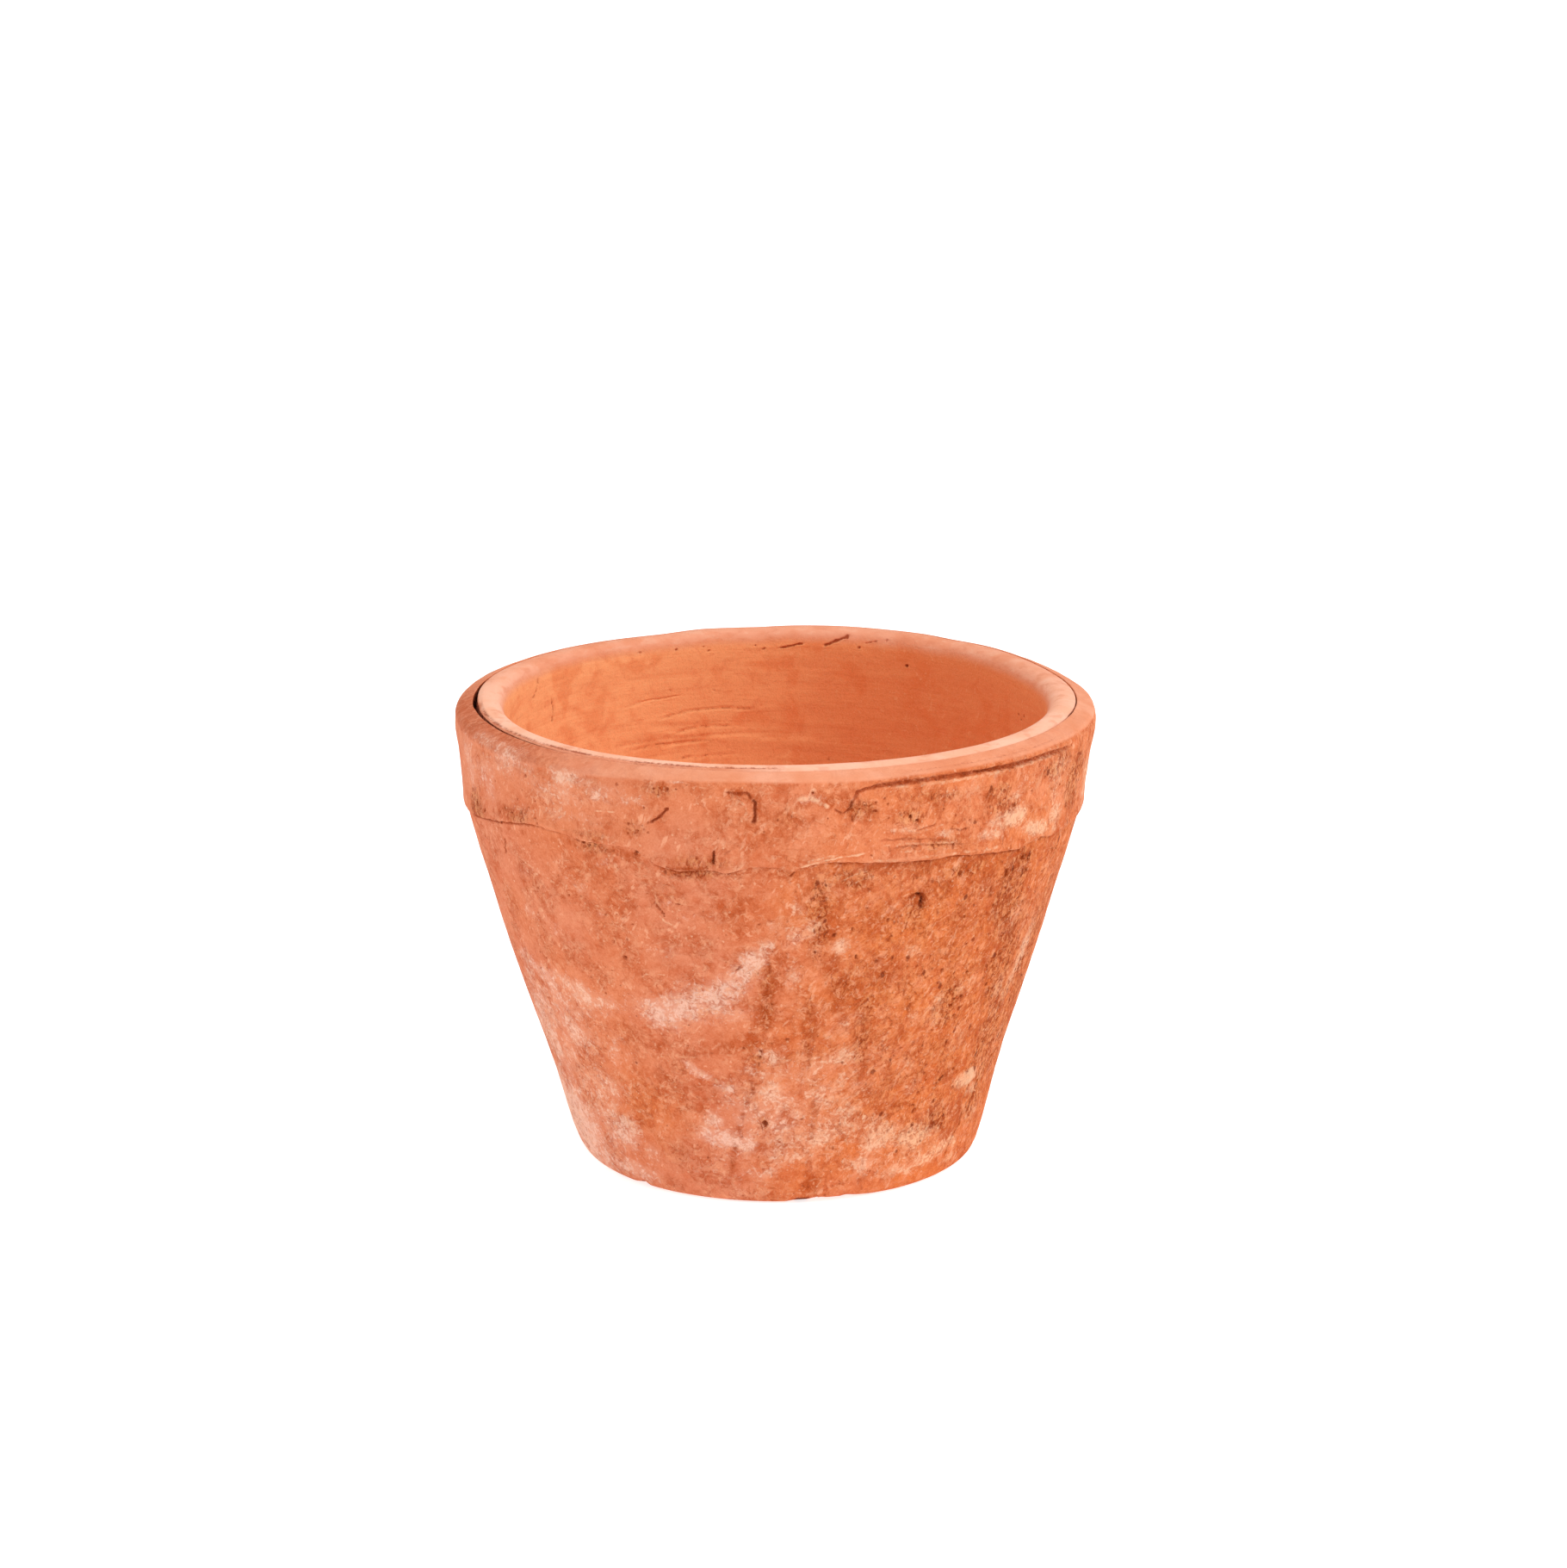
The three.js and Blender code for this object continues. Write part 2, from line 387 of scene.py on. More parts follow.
# Pits in the wall: angle, height, radius, depth, darkness, tallness.
WALL_PITS = [
    (-30.6, 83.6, 0.75, 1.0, 1.0, 1.0), (-32.5, 88.2, 0.4, 0.5, 0.7, 1.4), (-39.6, 85.2, 0.45, 0.4, 0.6, 0.6),
    (-58.8, 70.2, 0.45, 0.5, 0.7, 1.3), (-27.4, 95.6, 0.6, 0.4, 0.65, 0.5), (-17.5, 104.3, 0.6, 0.4, 0.6, 0.5),
    (-33.2, 97.1, 0.5, 0.35, 0.5, 0.6), (-31.8, 97.3, 0.4, 0.35, 0.5, 0.8), (-30.5, 98.1, 0.45, 0.4, 0.6, 1.3),
    (-29.4, 97.5, 0.45, 0.35, 0.5, 0.7), (-26.3, 80.7, 0.4, 0.3, 0.5, 0.8), (-13.4, 95.3, 0.35, 0.3, 0.5, 1.0),
    (-68.8, 110.0, 0.5, 0.5, 0.7, 1.2), (-29.5, 119.6, 0.65, 0.7, 0.95, 1.0), (-27.1, 120.2, 0.45, 0.4, 0.6, 0.7),
    (-36.8, 121.6, 0.6, 0.5, 0.75, 0.8), (-35.5, 121.0, 0.6, 0.6, 0.8, 0.8), (-34.2, 120.6, 0.55, 0.6, 0.8, 0.9),
    (-32.8, 120.9, 0.55, 0.5, 0.7, 0.8), (-38.6, 121.9, 0.4, 0.4, 0.65, 0.8), (-43.2, 101.1, 0.4, 0.4, 0.6, 1.2),
    (-41.5, 101.5, 0.45, 0.5, 0.75, 1.0), (-28.6, 106.9, 0.4, 0.35, 0.5, 1.2), (-31.7, 108.5, 0.38, 0.35, 0.5, 1.0),
    (-19.7, 110.2, 0.4, 0.35, 0.55, 1.0), (-51.8, 105.8, 0.5, 0.4, 0.6, 0.8), (52.1, 115.6, 1.05, 1.5, 1.0, 1.0),
    (52.6, 110.0, 1.15, 1.5, 1.0, 0.8), (54.7, 108.8, 0.8, 1.1, 0.9, 1.0), (55.1, 104.5, 0.85, 1.2, 1.0, 1.0),
    (48.6, 112.4, 0.6, 0.8, 0.8, 0.9), (48.4, 106.3, 0.85, 1.1, 0.9, 2.0), (35.9, 110.3, 0.75, 0.9, 0.85, 1.2),
    (58.1, 92.3, 0.6, 0.7, 0.75, 1.4), (17.5, 102.8, 0.55, 0.6, 0.75, 1.0), (21.9, 98.1, 0.6, 0.6, 0.75, 1.4),
    (39.5, 94.7, 0.5, 0.5, 0.65, 1.2), (11.5, 94.4, 0.6, 0.9, 0.95, 1.7), (8.1, 88.9, 0.5, 0.6, 0.75, 1.0),
    (6.2, 100.6, 0.45, 0.5, 0.65, 1.0), (6.6, 97.8, 0.4, 0.4, 0.55, 0.8), (16.3, 86.3, 0.6, 0.7, 0.85, 1.8),
    (15.0, 96.1, 0.55, 0.6, 0.7, 1.6), (20.7, 84.4, 0.55, 0.6, 0.75, 1.3), (23.1, 92.4, 0.55, 0.5, 0.7, 0.8),
    (2.9, 59.1, 0.6, 0.7, 0.8, 0.8), (-2.5, 98.7, 0.38, 0.4, 0.6, 1.3), (44.0, 74.3, 0.55, 0.8, 0.9, 1.0),
    (51.8, 67.4, 0.75, 1.0, 1.0, 1.0), (55.7, 62.0, 0.6, 0.8, 0.85, 2.0), (61.6, 56.6, 0.7, 0.9, 0.95, 2.3),
    (63.1, 51.0, 0.7, 0.8, 0.85, 1.6), (40.1, 69.5, 0.6, 0.7, 0.8, 1.2), (43.8, 66.2, 0.7, 0.7, 0.8, 0.9),
    (43.0, 59.9, 0.65, 0.6, 0.75, 0.8), (44.1, 61.8, 0.6, 0.6, 0.75, 1.6), (41.2, 63.4, 0.5, 0.5, 0.65, 1.4),
    (55.1, 78.3, 0.7, 0.7, 0.8, 1.6), (48.1, 85.7, 0.6, 0.6, 0.75, 1.1), (43.3, 85.5, 0.6, 0.6, 0.7, 1.6),
    (33.9, 78.6, 0.5, 0.5, 0.6, 1.4), (52.4, 73.2, 0.6, 0.6, 0.7, 1.2), (59.9, 82.1, 0.6, 0.6, 0.7, 1.4),
    (53.9, 76.7, 0.6, 0.6, 0.7, 0.8), (-6.4, 55.8, 0.5, 0.5, 0.65, 0.8), (-2.8, 54.8, 0.5, 0.6, 0.8, 0.9),
    (-3.0, 52.6, 0.5, 0.6, 0.8, 1.2), (-2.4, 29.0, 0.95, 0.9, 0.9, 1.2), (6.5, 30.1, 0.5, 0.4, 0.6, 0.8),
    (48.2, 39.4, 0.7, 0.6, 0.75, 1.0), (55.6, 38.1, 0.55, 0.6, 0.7, 1.2), (36.8, 20.5, 0.5, 0.6, 0.85, 1.0),
    (45.5, 21.1, 1.3, 0.7, 0.6, 0.8), (43.6, 24.5, 0.8, 0.5, 0.6, 1.6), (47.4, 19.8, 0.6, 0.5, 0.6, 1.0), (50.8, 113.0, 0.7, 0.8, 0.85, 0.9),
    (57.6, 93.0, 0.5, 0.5, 0.6, 1.3), (22.4, 102.4, 0.4, 0.4, 0.5, 1.0), (57.6, 113.4, 0.6, 0.8, 0.85, 0.8),
    (62.4, 111.8, 0.6, 0.7, 0.8, 0.8), (66.4, 111.9, 0.55, 0.6, 0.75, 1.2), (38.5, 24.6, 0.5, 0.4, 0.5, 0.9),
]
# Nicks in the band.
BAND_CUTS = [
    ([(-21.9, 130.2), (-20.3, 132.0), (-19.3, 133.9), (-18.3, 135.6)], 0.5, 0.8, 0.8),
    ([(-3.9, 139.2), (-3.3, 138.3), (-3.3, 135.2), (-3.4, 132.6), (-4.0, 131.9)], 0.6, 1.1, 0.78),
    ([(-8.4, 140.3), (-7.6, 141.0), (-6.6, 141.2), (-5.5, 141.0), (-4.6, 140.3), (-3.8, 139.3)], 0.5, 0.6, 0.5),
    ([(-7.8, 139.4), (-6.6, 139.7), (-5.4, 139.2), (-4.9, 137.6)], 0.5, -0.45, 0.0),
    ([(-10.4, 123.0), (-10.4, 120.8), (-10.4, 118.4)], 0.45, 0.9, 0.95),
    ([(10.0, 136.0), (11.7, 134.4), (13.1, 136.0), (13.4, 138.6)], 0.4, 0.5, 0.65),
    ([(16.9, 134.2), (17.9, 134.8)], 0.4, 0.5, 0.75),
    ([(-46.0, 124.2), (-46.2, 123.1)], 0.3, 0.4, 0.7),
    ([(-8.8, 121.9), (-7.4, 123.0)], 0.28, 0.3, 0.45),
    ([(25.0, 126.8), (27.2, 127.4), (29.2, 128.2)], 0.3, 0.35, 0.5),
    ([(18.0, 125.2), (22.7, 124.9), (27.5, 123.9), (32.3, 122.3)], 0.35, 0.4, 0.35),
    ([(20.5, 122.3), (25.5, 122.6), (31.0, 121.4), (36.0, 120.2)], 0.35, 0.4, 0.3),
    ([(32.0, 126.2), (34.2, 124.9), (36.0, 125.2)], 0.35, 0.4, 0.45),
]
# The fold where the rim was rolled over the band's face, at the right.
FOLD = [
    (11.2, 131.9), (12.3, 134.6), (13.0, 137.6), (14.2, 140.3), (15.8, 141.7), (17.7, 142.3), (20.8, 142.6), (24.6, 142.7), (29.5, 142.7),
    (33.2, 142.7), (40.3, 142.4), (44.9, 142.1), (49.5, 142.0), (55.6, 141.8), (60.7, 141.5), (66.0, 141.3),
]
BAND_PITS = [
    (-22.9, 134.8, 0.42, 0.4, 0.7, 1.2), (-25.9, 129.4, 0.45, 0.35, 0.6, 1.2), (-26.0, 126.3, 0.42, 0.35, 0.55, 1.2),
    (-23.0, 128.1, 0.42, 0.35, 0.55, 1.3), (-24.2, 127.4, 0.35, 0.3, 0.5, 1.0), (-48.6, 138.0, 0.55, 0.55, 0.7, 1.0), (-51.7, 129.4, 0.45, 0.4, 0.65, 1.3),
    (-50.5, 125.7, 0.4, 0.4, 0.65, 1.6), (-50.4, 124.2, 0.38, 0.35, 0.6, 1.0), (-46.7, 125.3, 0.45, 0.5, 0.8, 1.2),
    (-56.1, 124.7, 0.45, 0.4, 0.6, 2.0), (-57.8, 123.0, 0.5, 0.4, 0.55, 1.2), (-60.5, 122.4, 0.5, 0.4, 0.6, 1.6),
    (-71.5, 122.2, 0.6, 0.5, 0.6, 1.5), (-68.1, 121.0, 0.7, 0.6, 0.75, 1.8), (-64.1, 120.6, 0.65, 0.6, 0.8, 1.2),
    (-72.8, 118.6, 0.7, 0.6, 0.7, 1.4), (-75.0, 124.4, 0.5, 0.4, 0.5, 1.5), (-66.2, 126.6, 0.45, 0.4, 0.5, 1.5),
    (-36.8, 124.4, 0.4, 0.35, 0.5, 0.8), (-33.2, 123.6, 0.4, 0.35, 0.5, 0.9), (6.5, 141.1, 0.5, 0.6, 0.8, 0.8),
    (2.8, 134.2, 0.4, 0.4, 0.55, 1.0), (0.6, 132.8, 0.4, 0.4, 0.65, 1.2), (9.2, 133.0, 0.38, 0.35, 0.5, 1.6),
    (15.4, 136.6, 0.45, 0.4, 0.6, 0.7), (17.4, 137.2, 0.42, 0.4, 0.6, 1.1), (19.0, 138.2, 0.4, 0.4, 0.6, 1.4),
    (14.6, 135.6, 0.4, 0.4, 0.55, 0.8), (19.6, 136.6, 0.4, 0.4, 0.55, 1.2), (24.0, 131.9, 0.65, 0.8, 0.9, 1.0),
    (25.3, 130.4, 0.5, 0.6, 0.75, 0.8), (40.3, 135.8, 0.55, 0.7, 0.85, 2.0), (43.8, 134.9, 0.5, 0.6, 0.8, 0.9),
    (41.9, 135.4, 0.38, 0.4, 0.6, 0.8), (47.2, 128.7, 0.6, 0.6, 0.7, 1.3), (66.8, 121.1, 0.85, 1.0, 0.95, 1.1),
    (74.6, 119.4, 0.7, 0.8, 0.8, 0.9), (33.0, 130.2, 0.45, 0.4, 0.55, 1.0), (30.4, 132.6, 0.45, 0.4, 0.5, 0.8),
    (36.2, 127.6, 0.45, 0.4, 0.5, 1.2), (52.0, 131.6, 0.5, 0.5, 0.6, 1.4), (55.4, 134.6, 0.45, 0.45, 0.6, 1.2),
    (58.6, 129.8, 0.5, 0.5, 0.6, 1.0), (62.4, 133.2, 0.5, 0.5, 0.6, 1.4), (49.2, 124.0, 0.45, 0.5, 0.6, 0.9),
    (-21.0, 141.3, 0.5, 0.35, 0.6, 0.8), (-18.6, 140.6, 0.55, 0.4, 0.65, 1.3), (-20.2, 139.2, 0.45, 0.35, 0.6, 1.1),
    (-17.0, 141.6, 0.42, 0.3, 0.5, 0.8), (-34.3, 139.6, 0.45, 0.3, 0.5, 0.8), (-28.0, 139.8, 0.45, 0.3, 0.5, 1.5),
    (-44.0, 139.2, 0.4, 0.3, 0.45, 1.0),
]
# Burrs on the wall, pale with a painted highlight: points, half-width, height, paleness.
WALL_RIDGES = [
    ([(26.6, 102.6), (26.4, 104.6), (27.2, 105.2)], 0.6, 0.35, 0.45),
    ([(29.4, 100.2), (29.6, 102.4), (29.4, 104.2)], 0.5, 0.25, 0.3),
    ([(4.2, 113.2), (5.0, 109.5), (5.4, 106.0)], 0.45, 0.2, 0.55),
    ([(7.0, 112.8), (7.8, 110.4), (7.3, 107.0)], 0.4, 0.2, 0.5),
    ([(12.0, 112.6), (14.6, 114.6), (17.4, 115.6)], 0.45, 0.2, 0.5),
    ([(13.2, 110.4), (15.8, 112.6), (18.6, 113.6)], 0.4, 0.2, 0.45),
    ([(-27.6, 78.2), (-24.5, 79.0), (-21.3, 79.3)], 0.4, 0.12, 0.5),
    ([(-36.5, 76.1), (-35.0, 71.3)], 0.4, 0.12, 0.6),
    ([(-54.3, 87.9), (-54.7, 83.7)], 0.5, 0.12, 0.65),
    ([(-66.4, 75.9), (-61.5, 80.8)], 0.4, 0.12, 0.6),
    ([(-41.7, 109.6), (-37.1, 105.6)], 0.4, 0.12, 0.5),
    ([(-49.5, 108.0), (-46.0, 105.0), (-43.2, 103.2)], 0.5, 0.12, 0.5),
    ([(-56.5, 111.5), (-52.0, 108.0), (-48.5, 106.6)], 0.5, 0.12, 0.55),
    ([(-22.0, 100.8), (-20.6, 98.0), (-18.2, 96.6)], 0.5, 0.15, 0.6),
    ([(-14.0, 107.5), (-10.4, 107.0), (-7.4, 108.6)], 0.45, 0.12, 0.45),
    ([(-64.0, 90.0), (-63.0, 86.0), (-62.6, 83.0)], 0.4, 0.12, 0.5),
    ([(-45.5, 84.5), (-44.0, 80.5)], 0.4, 0.12, 0.5),
    ([(-20.5, 49.8), (-18.0, 47.2), (-15.2, 44.6), (-12.2, 42.6)], 1.2, 0.12, 0.4),
    ([(54.0, 36.0), (57.5, 35.6), (58.0, 32.4), (55.0, 31.8)], 1.3, 0.3, 1.0),
    ([(50.0, 87.6), (52.0, 88.4), (54.0, 89.4)], 0.5, 0.25, 0.5),
    ([(22.2, 28.2), (22.8, 30.0)], 0.5, 0.2, 1.0),
]
# Torn lips and burrs that stand up and catch the light, with a painted highlight: points, half-width, height, paleness.
BAND_RIDGES = [
    ([(3.4, 117.0), (4.7, 118.2), (6.8, 119.3), (8.6, 120.1), (10.7, 120.9), (13.6, 121.3), (16.5, 122.1)], 0.42, 0.5, 0.75),
    ([(5.4, 119.6), (8.0, 120.9), (11.5, 122.0)], 0.5, 0.25, 0.6),
    ([(3.2, 138.9), (4.6, 139.7), (6.2, 139.7), (7.6, 138.4), (9.4, 136.3)], 0.8, 0.55, 0.7),
    ([(17.2, 141.1), (20.8, 141.3), (24.6, 141.3), (29.5, 141.3), (36.0, 141.1), (44.0, 140.8), (55.0, 140.4), (66.0, 139.8)], 0.75, 0.35, 0.55),
    ([(13.0, 119.3), (19.0, 119.0), (26.0, 118.6), (33.0, 118.2), (40.0, 117.2), (47.0, 116.0)], 0.7, 0.3, 0.45),
    ([(18.0, 123.6), (24.0, 123.4), (30.0, 122.3), (36.5, 120.9)], 0.5, 0.25, 0.5),
    ([(22.0, 121.2), (28.5, 120.6), (35.0, 119.4)], 0.45, 0.22, 0.45),
    ([(24.0, 126.0), (27.5, 126.9), (31.0, 127.9)], 0.4, 0.2, 0.45),
    ([(-8.6, 138.7), (-7.0, 139.4), (-5.6, 139.0), (-4.9, 137.6), (-4.7, 135.5), (-4.9, 133.4)], 0.7, 0.5, 0.5),
    ([(-20.2, 130.0), (-18.6, 132.0), (-17.4, 134.4)], 0.5, 0.25, 0.3),
    ([(-52.0, 122.9), (-46.2, 124.2), (-42.6, 123.9), (-38.0, 123.6), (-33.5, 124.0), (-28.0, 124.0)], 0.5, 0.22, 0.3),
    ([(-20.2, 118.0), (-18.0, 117.5), (-15.5, 117.7), (-12.0, 118.3), (-8.6, 117.9), (-5.6, 118.9)], 0.6, 0.3, 0.25),
    ([(-33.0, 131.8), (-30.6, 132.3), (-28.0, 132.6)], 0.5, 0.2, 0.6),
    ([(-44.0, 127.0), (-42.0, 129.0), (-38.6, 129.3)], 0.4, 0.15, 0.4),
    ([(-63.0, 137.5), (-61.5, 134.5), (-60.5, 131.5)], 0.5, 0.2, 0.5),
    ([(-57.5, 139.0), (-55.5, 136.5), (-54.5, 134.5)], 0.4, 0.15, 0.4),
    ([(-70.0, 136.5), (-69.0, 133.5), (-68.0, 131.0)], 0.5, 0.2, 0.45),
]
INNER_CUTS = [
    ([(169.4, 141.7), (166.8, 143.2), (163.6, 145.4)], 0.5, 0.6, 0.85),
    ([(179.4, 140.9), (176.8, 141.6), (173.8, 142.4)], 0.42, 0.5, 0.75),
    ([(-113.0, 136.3), (-115.2, 138.8), (-116.4, 142.8)], 0.35, 0.35, 0.5),
    ([(-121.3, 134.8), (-122.4, 130.2), (-121.9, 125.6)], 0.35, 0.4, 0.65),
    ([(160.0, 143.3), (157.2, 144.4)], 0.35, 0.3, 0.45),
    ([(-160.2, 105.2), (-165.5, 105.6), (-171.0, 105.3), (179.0, 104.5)], 0.5, 0.6, 0.42),
    ([(-157.0, 114.2), (-162.0, 115.2), (-170.5, 115.0)], 0.45, 0.5, 0.34),
    ([(-153.0, 119.5), (-160.0, 121.0), (-168.0, 121.0), (-176.0, 120.4)], 0.45, 0.5, 0.28),
    ([(-146.0, 109.8), (-152.5, 110.9), (-160.5, 110.6), (-167.0, 109.9)], 0.4, 0.42, 0.3),
    ([(-168.5, 99.8), (-175.0, 99.6), (177.5, 99.0)], 0.42, 0.45, 0.32),
    ([(-144.0, 125.0), (-150.5, 126.4), (-158.5, 126.8)], 0.38, 0.38, 0.2),
    ([(-172.0, 112.8), (-179.0, 112.2), (174.5, 111.4)], 0.36, 0.34, 0.2),
]
INNER_PITS = [
    (149.7, 137.4, 0.7, 0.7, 0.95, 1.0), (161.2, 141.9, 0.55, 0.5, 0.8, 0.9), (-157.3, 143.0, 0.6, 0.5, 0.65, 0.9), (-148.4, 143.2, 0.6, 0.4, 0.5, 1.0),
    (-164.9, 141.1, 0.6, 0.4, 0.55, 0.8), (-163.6, 142.6, 0.5, 0.35, 0.5, 0.8), (-177.3, 141.1, 0.7, 0.45, 0.55, 0.7),
    (-175.4, 142.2, 0.45, 0.35, 0.5, 0.8), (112.9, 131.9, 0.55, 0.5, 0.75, 0.9), (110.2, 132.4, 0.5, 0.5, 0.75, 1.4),
    (111.6, 130.8, 0.4, 0.4, 0.6, 1.0), (-114.0, 137.0, 0.55, 0.5, 0.6, 1.4), (155.2, 145.0, 0.5, 0.35, 0.45, 1.0),
    (167.6, 103.5, 0.6, 0.4, 0.45, 0.7), (-166.0, 127.5, 0.4, 0.3, 0.45, 0.8), (-156.0, 129.0, 0.4, 0.3, 0.4, 0.9),
]


# ---------------------------------------------------------------- meshes: a turned grid, finer where a mark needs it
class Grid:
    """A closed profile turned about Z. Cells split in four, down to 1/8 of a cell, where need() asks for it."""

    FINE = 8

    def __init__(self, columns, rows):
        self.columns = columns
        self.rows = np.asarray(rows, float)  # the profile lengths at the row lines, first to last
        self.ni = columns * self.FINE
        self.nj = (len(rows) - 1) * self.FINE
        self.need = np.zeros((len(rows) - 1, columns), np.int8)
        self.fine_need = np.zeros((self.nj, self.ni), np.int8)

    def s_at(self, j):
        j = np.asarray(j, float) / self.FINE
        return np.interp(j, np.arange(len(self.rows)), self.rows)

    def j_at(self, s):
        return np.interp(s, self.rows, np.arange(len(self.rows))) * self.FINE

    def ask(self, a0, a1, s0, s1, level):
        """Everything in this window of angle and profile length gets at least this level."""
        j0, j1 = np.floor(self.j_at([s0, s1])).astype(int)
        i0 = int(math.floor((a0 + 180) / 360 * self.ni))
        i1 = int(math.ceil((a1 + 180) / 360 * self.ni))
        cols = np.arange(i0, i1 + 1) % self.ni
        block = self.fine_need[j0 : j1 + 1]
        block[:, cols] = np.maximum(block[:, cols], level)

    def build(self):
        f = self.FINE
        need = self.fine_need
        levels = int(math.log2(f))
        top = []
        for lv in range(levels + 1):
            size = f >> lv
            top.append(need.reshape(self.nj // size, size, self.ni // size, size).max(axis=(1, 3)))
        leaves = []
        open_ = np.ones_like(top[0], bool)
        for lv in range(levels + 1):
            size = f >> lv
            split = open_ & (top[lv] > lv)
            leaf = open_ & ~split
            j, i = np.nonzero(leaf)
            leaves.append(np.stack([i * size, j * size, np.full(len(i), size)], 1))
            if lv < levels:
                open_ = np.repeat(np.repeat(split, 2, 0), 2, 1)
        cells = np.concatenate(leaves)
        used = np.zeros((self.nj, self.ni), bool)
        for di, dj in ((0, 0), (1, 0), (1, 1), (0, 1)):
            used[(cells[:, 1] + dj * cells[:, 2]) % self.nj, (cells[:, 0] + di * cells[:, 2]) % self.ni] = True
        plain = np.ones(len(cells), bool)
        for size in (2, 4, 8):
            k = np.nonzero(cells[:, 2] == size)[0]
            if not len(k):
                continue
            i, j = cells[k, 0], cells[k, 1]
            hit = np.zeros(len(k), bool)
            for t in range(1, size):
                hit |= used[j % self.nj, (i + t) % self.ni]
                hit |= used[(j + size) % self.nj, (i + t) % self.ni]
                hit |= used[(j + t) % self.nj, i % self.ni]
                hit |= used[(j + t) % self.nj, (i + size) % self.ni]
            plain[k[hit]] = False
        c = cells[plain]
        quads = np.stack(
            [c[:, 0], c[:, 1], c[:, 0] + c[:, 2], c[:, 1], c[:, 0] + c[:, 2], c[:, 1] + c[:, 2], c[:, 0], c[:, 1] + c[:, 2]], 1
        ).reshape(-1, 4, 2)
        tris = []
        for i, j, size in cells[~plain]:
            ring = [(i, j)]
            ring += [(i + t, j) for t in range(1, size) if used[j % self.nj, (i + t) % self.ni]]
            ring.append((i + size, j))
            ring += [(i + size, j + t) for t in range(1, size) if used[(j + t) % self.nj, (i + size) % self.ni]]
            ring.append((i + size, j + size))
            ring += [(i + t, j + size) for t in range(size - 1, 0, -1) if used[(j + size) % self.nj, (i + t) % self.ni]]
            ring.append((i, j + size))
            ring += [(i, j + t) for t in range(size - 1, 0, -1) if used[(j + t) % self.nj, i % self.ni]]
            mid = (i + size // 2, j + size // 2)
            for p, q in zip(ring, ring[1:] + ring[:1]):
                tris.append((p, q, mid))
        tris = np.array(tris, np.int64).reshape(-1, 3, 2)
        self.quads, self.tris = quads, tris
        corners = np.concatenate([quads.reshape(-1, 2), tris.reshape(-1, 2)])
        key = (corners[:, 1] % self.nj) * self.ni + corners[:, 0] % self.ni
        unique, index = np.unique(key, return_inverse=True)
        self.corner_ij = corners
        self.index = index
        self.vi = unique % self.ni
        self.vj = unique // self.ni
        self.a = self.vi / self.ni * 360.0 - 180.0
        self.s = self.s_at(self.vj)
        return self

    def mesh(self, name, co, fields, v_of_s):
        me = bpy.data.meshes.new(name)
        nq, nt = len(self.quads), len(self.tris)
        me.vertices.add(len(co))
        me.vertices.foreach_set("co", (co * 0.001).astype(np.float32).ravel())
        me.loops.add(nq * 4 + nt * 3)
        me.loops.foreach_set("vertex_index", self.index.astype(np.int32))
        me.polygons.add(nq + nt)
        start = np.concatenate([np.arange(nq) * 4, nq * 4 + np.arange(nt) * 3]).astype(np.int32)
        me.polygons.foreach_set("loop_start", start)
        me.update(calc_edges=True)
        me.polygons.foreach_set("use_smooth", np.ones(nq + nt, bool))
        uv = me.uv_layers.new(name="OFBake")
        u = self.corner_ij[:, 0] / self.ni
        v = v_of_s(self.s_at(self.corner_ij[:, 1]))
        uv.uv.foreach_set("vector", np.stack([u * 0.998 + 0.001, v * 0.998 + 0.001], 1).astype(np.float32).ravel())
        for key, value in fields.items():
            at = me.attributes.new(key, "FLOAT", "POINT")
            at.data.foreach_set("value", np.clip(value, -1, 1).astype(np.float32))
        me.validate()
        me.update()
        ob = bpy.data.objects.new(name, me)
        scene.collection.objects.link(ob)
        return ob


def dense(points, step=0.05):
    """A smooth line through the control points as a dense polyline."""
    p = np.asarray(points, float)
    out = []
    ext = np.vstack([2 * p[0] - p[1], p, 2 * p[-1] - p[-2]])
    for i in range(1, len(ext) - 2):
        p0, p1, p2, p3 = ext[i - 1], ext[i], ext[i + 1], ext[i + 2]
        n = max(2, int(np.hypot(*(p2 - p1)) / step))
        t0 = 0.0
        t1 = t0 + max(np.hypot(*(p1 - p0)), 1e-6) ** 0.5
        t2 = t1 + max(np.hypot(*(p2 - p1)), 1e-6) ** 0.5
        t3 = t2 + max(np.hypot(*(p3 - p2)), 1e-6) ** 0.5
        t = np.linspace(t1, t2, n, endpoint=False)[:, None]
        a1 = (t1 - t) / (t1 - t0) * p0 + (t - t0) / (t1 - t0) * p1
        a2 = (t2 - t) / (t2 - t1) * p1 + (t - t1) / (t2 - t1) * p2
        a3 = (t3 - t) / (t3 - t2) * p2 + (t - t2) / (t3 - t2) * p3
        b1 = (t2 - t) / (t2 - t0) * a1 + (t - t0) / (t2 - t0) * a2
        b2 = (t3 - t) / (t3 - t1) * a2 + (t - t1) / (t3 - t1) * a3
        out.append((t2 - t) / (t2 - t1) * b1 + (t - t1) / (t2 - t1) * b2)
    out.append(p[-1:])
    return np.vstack(out)


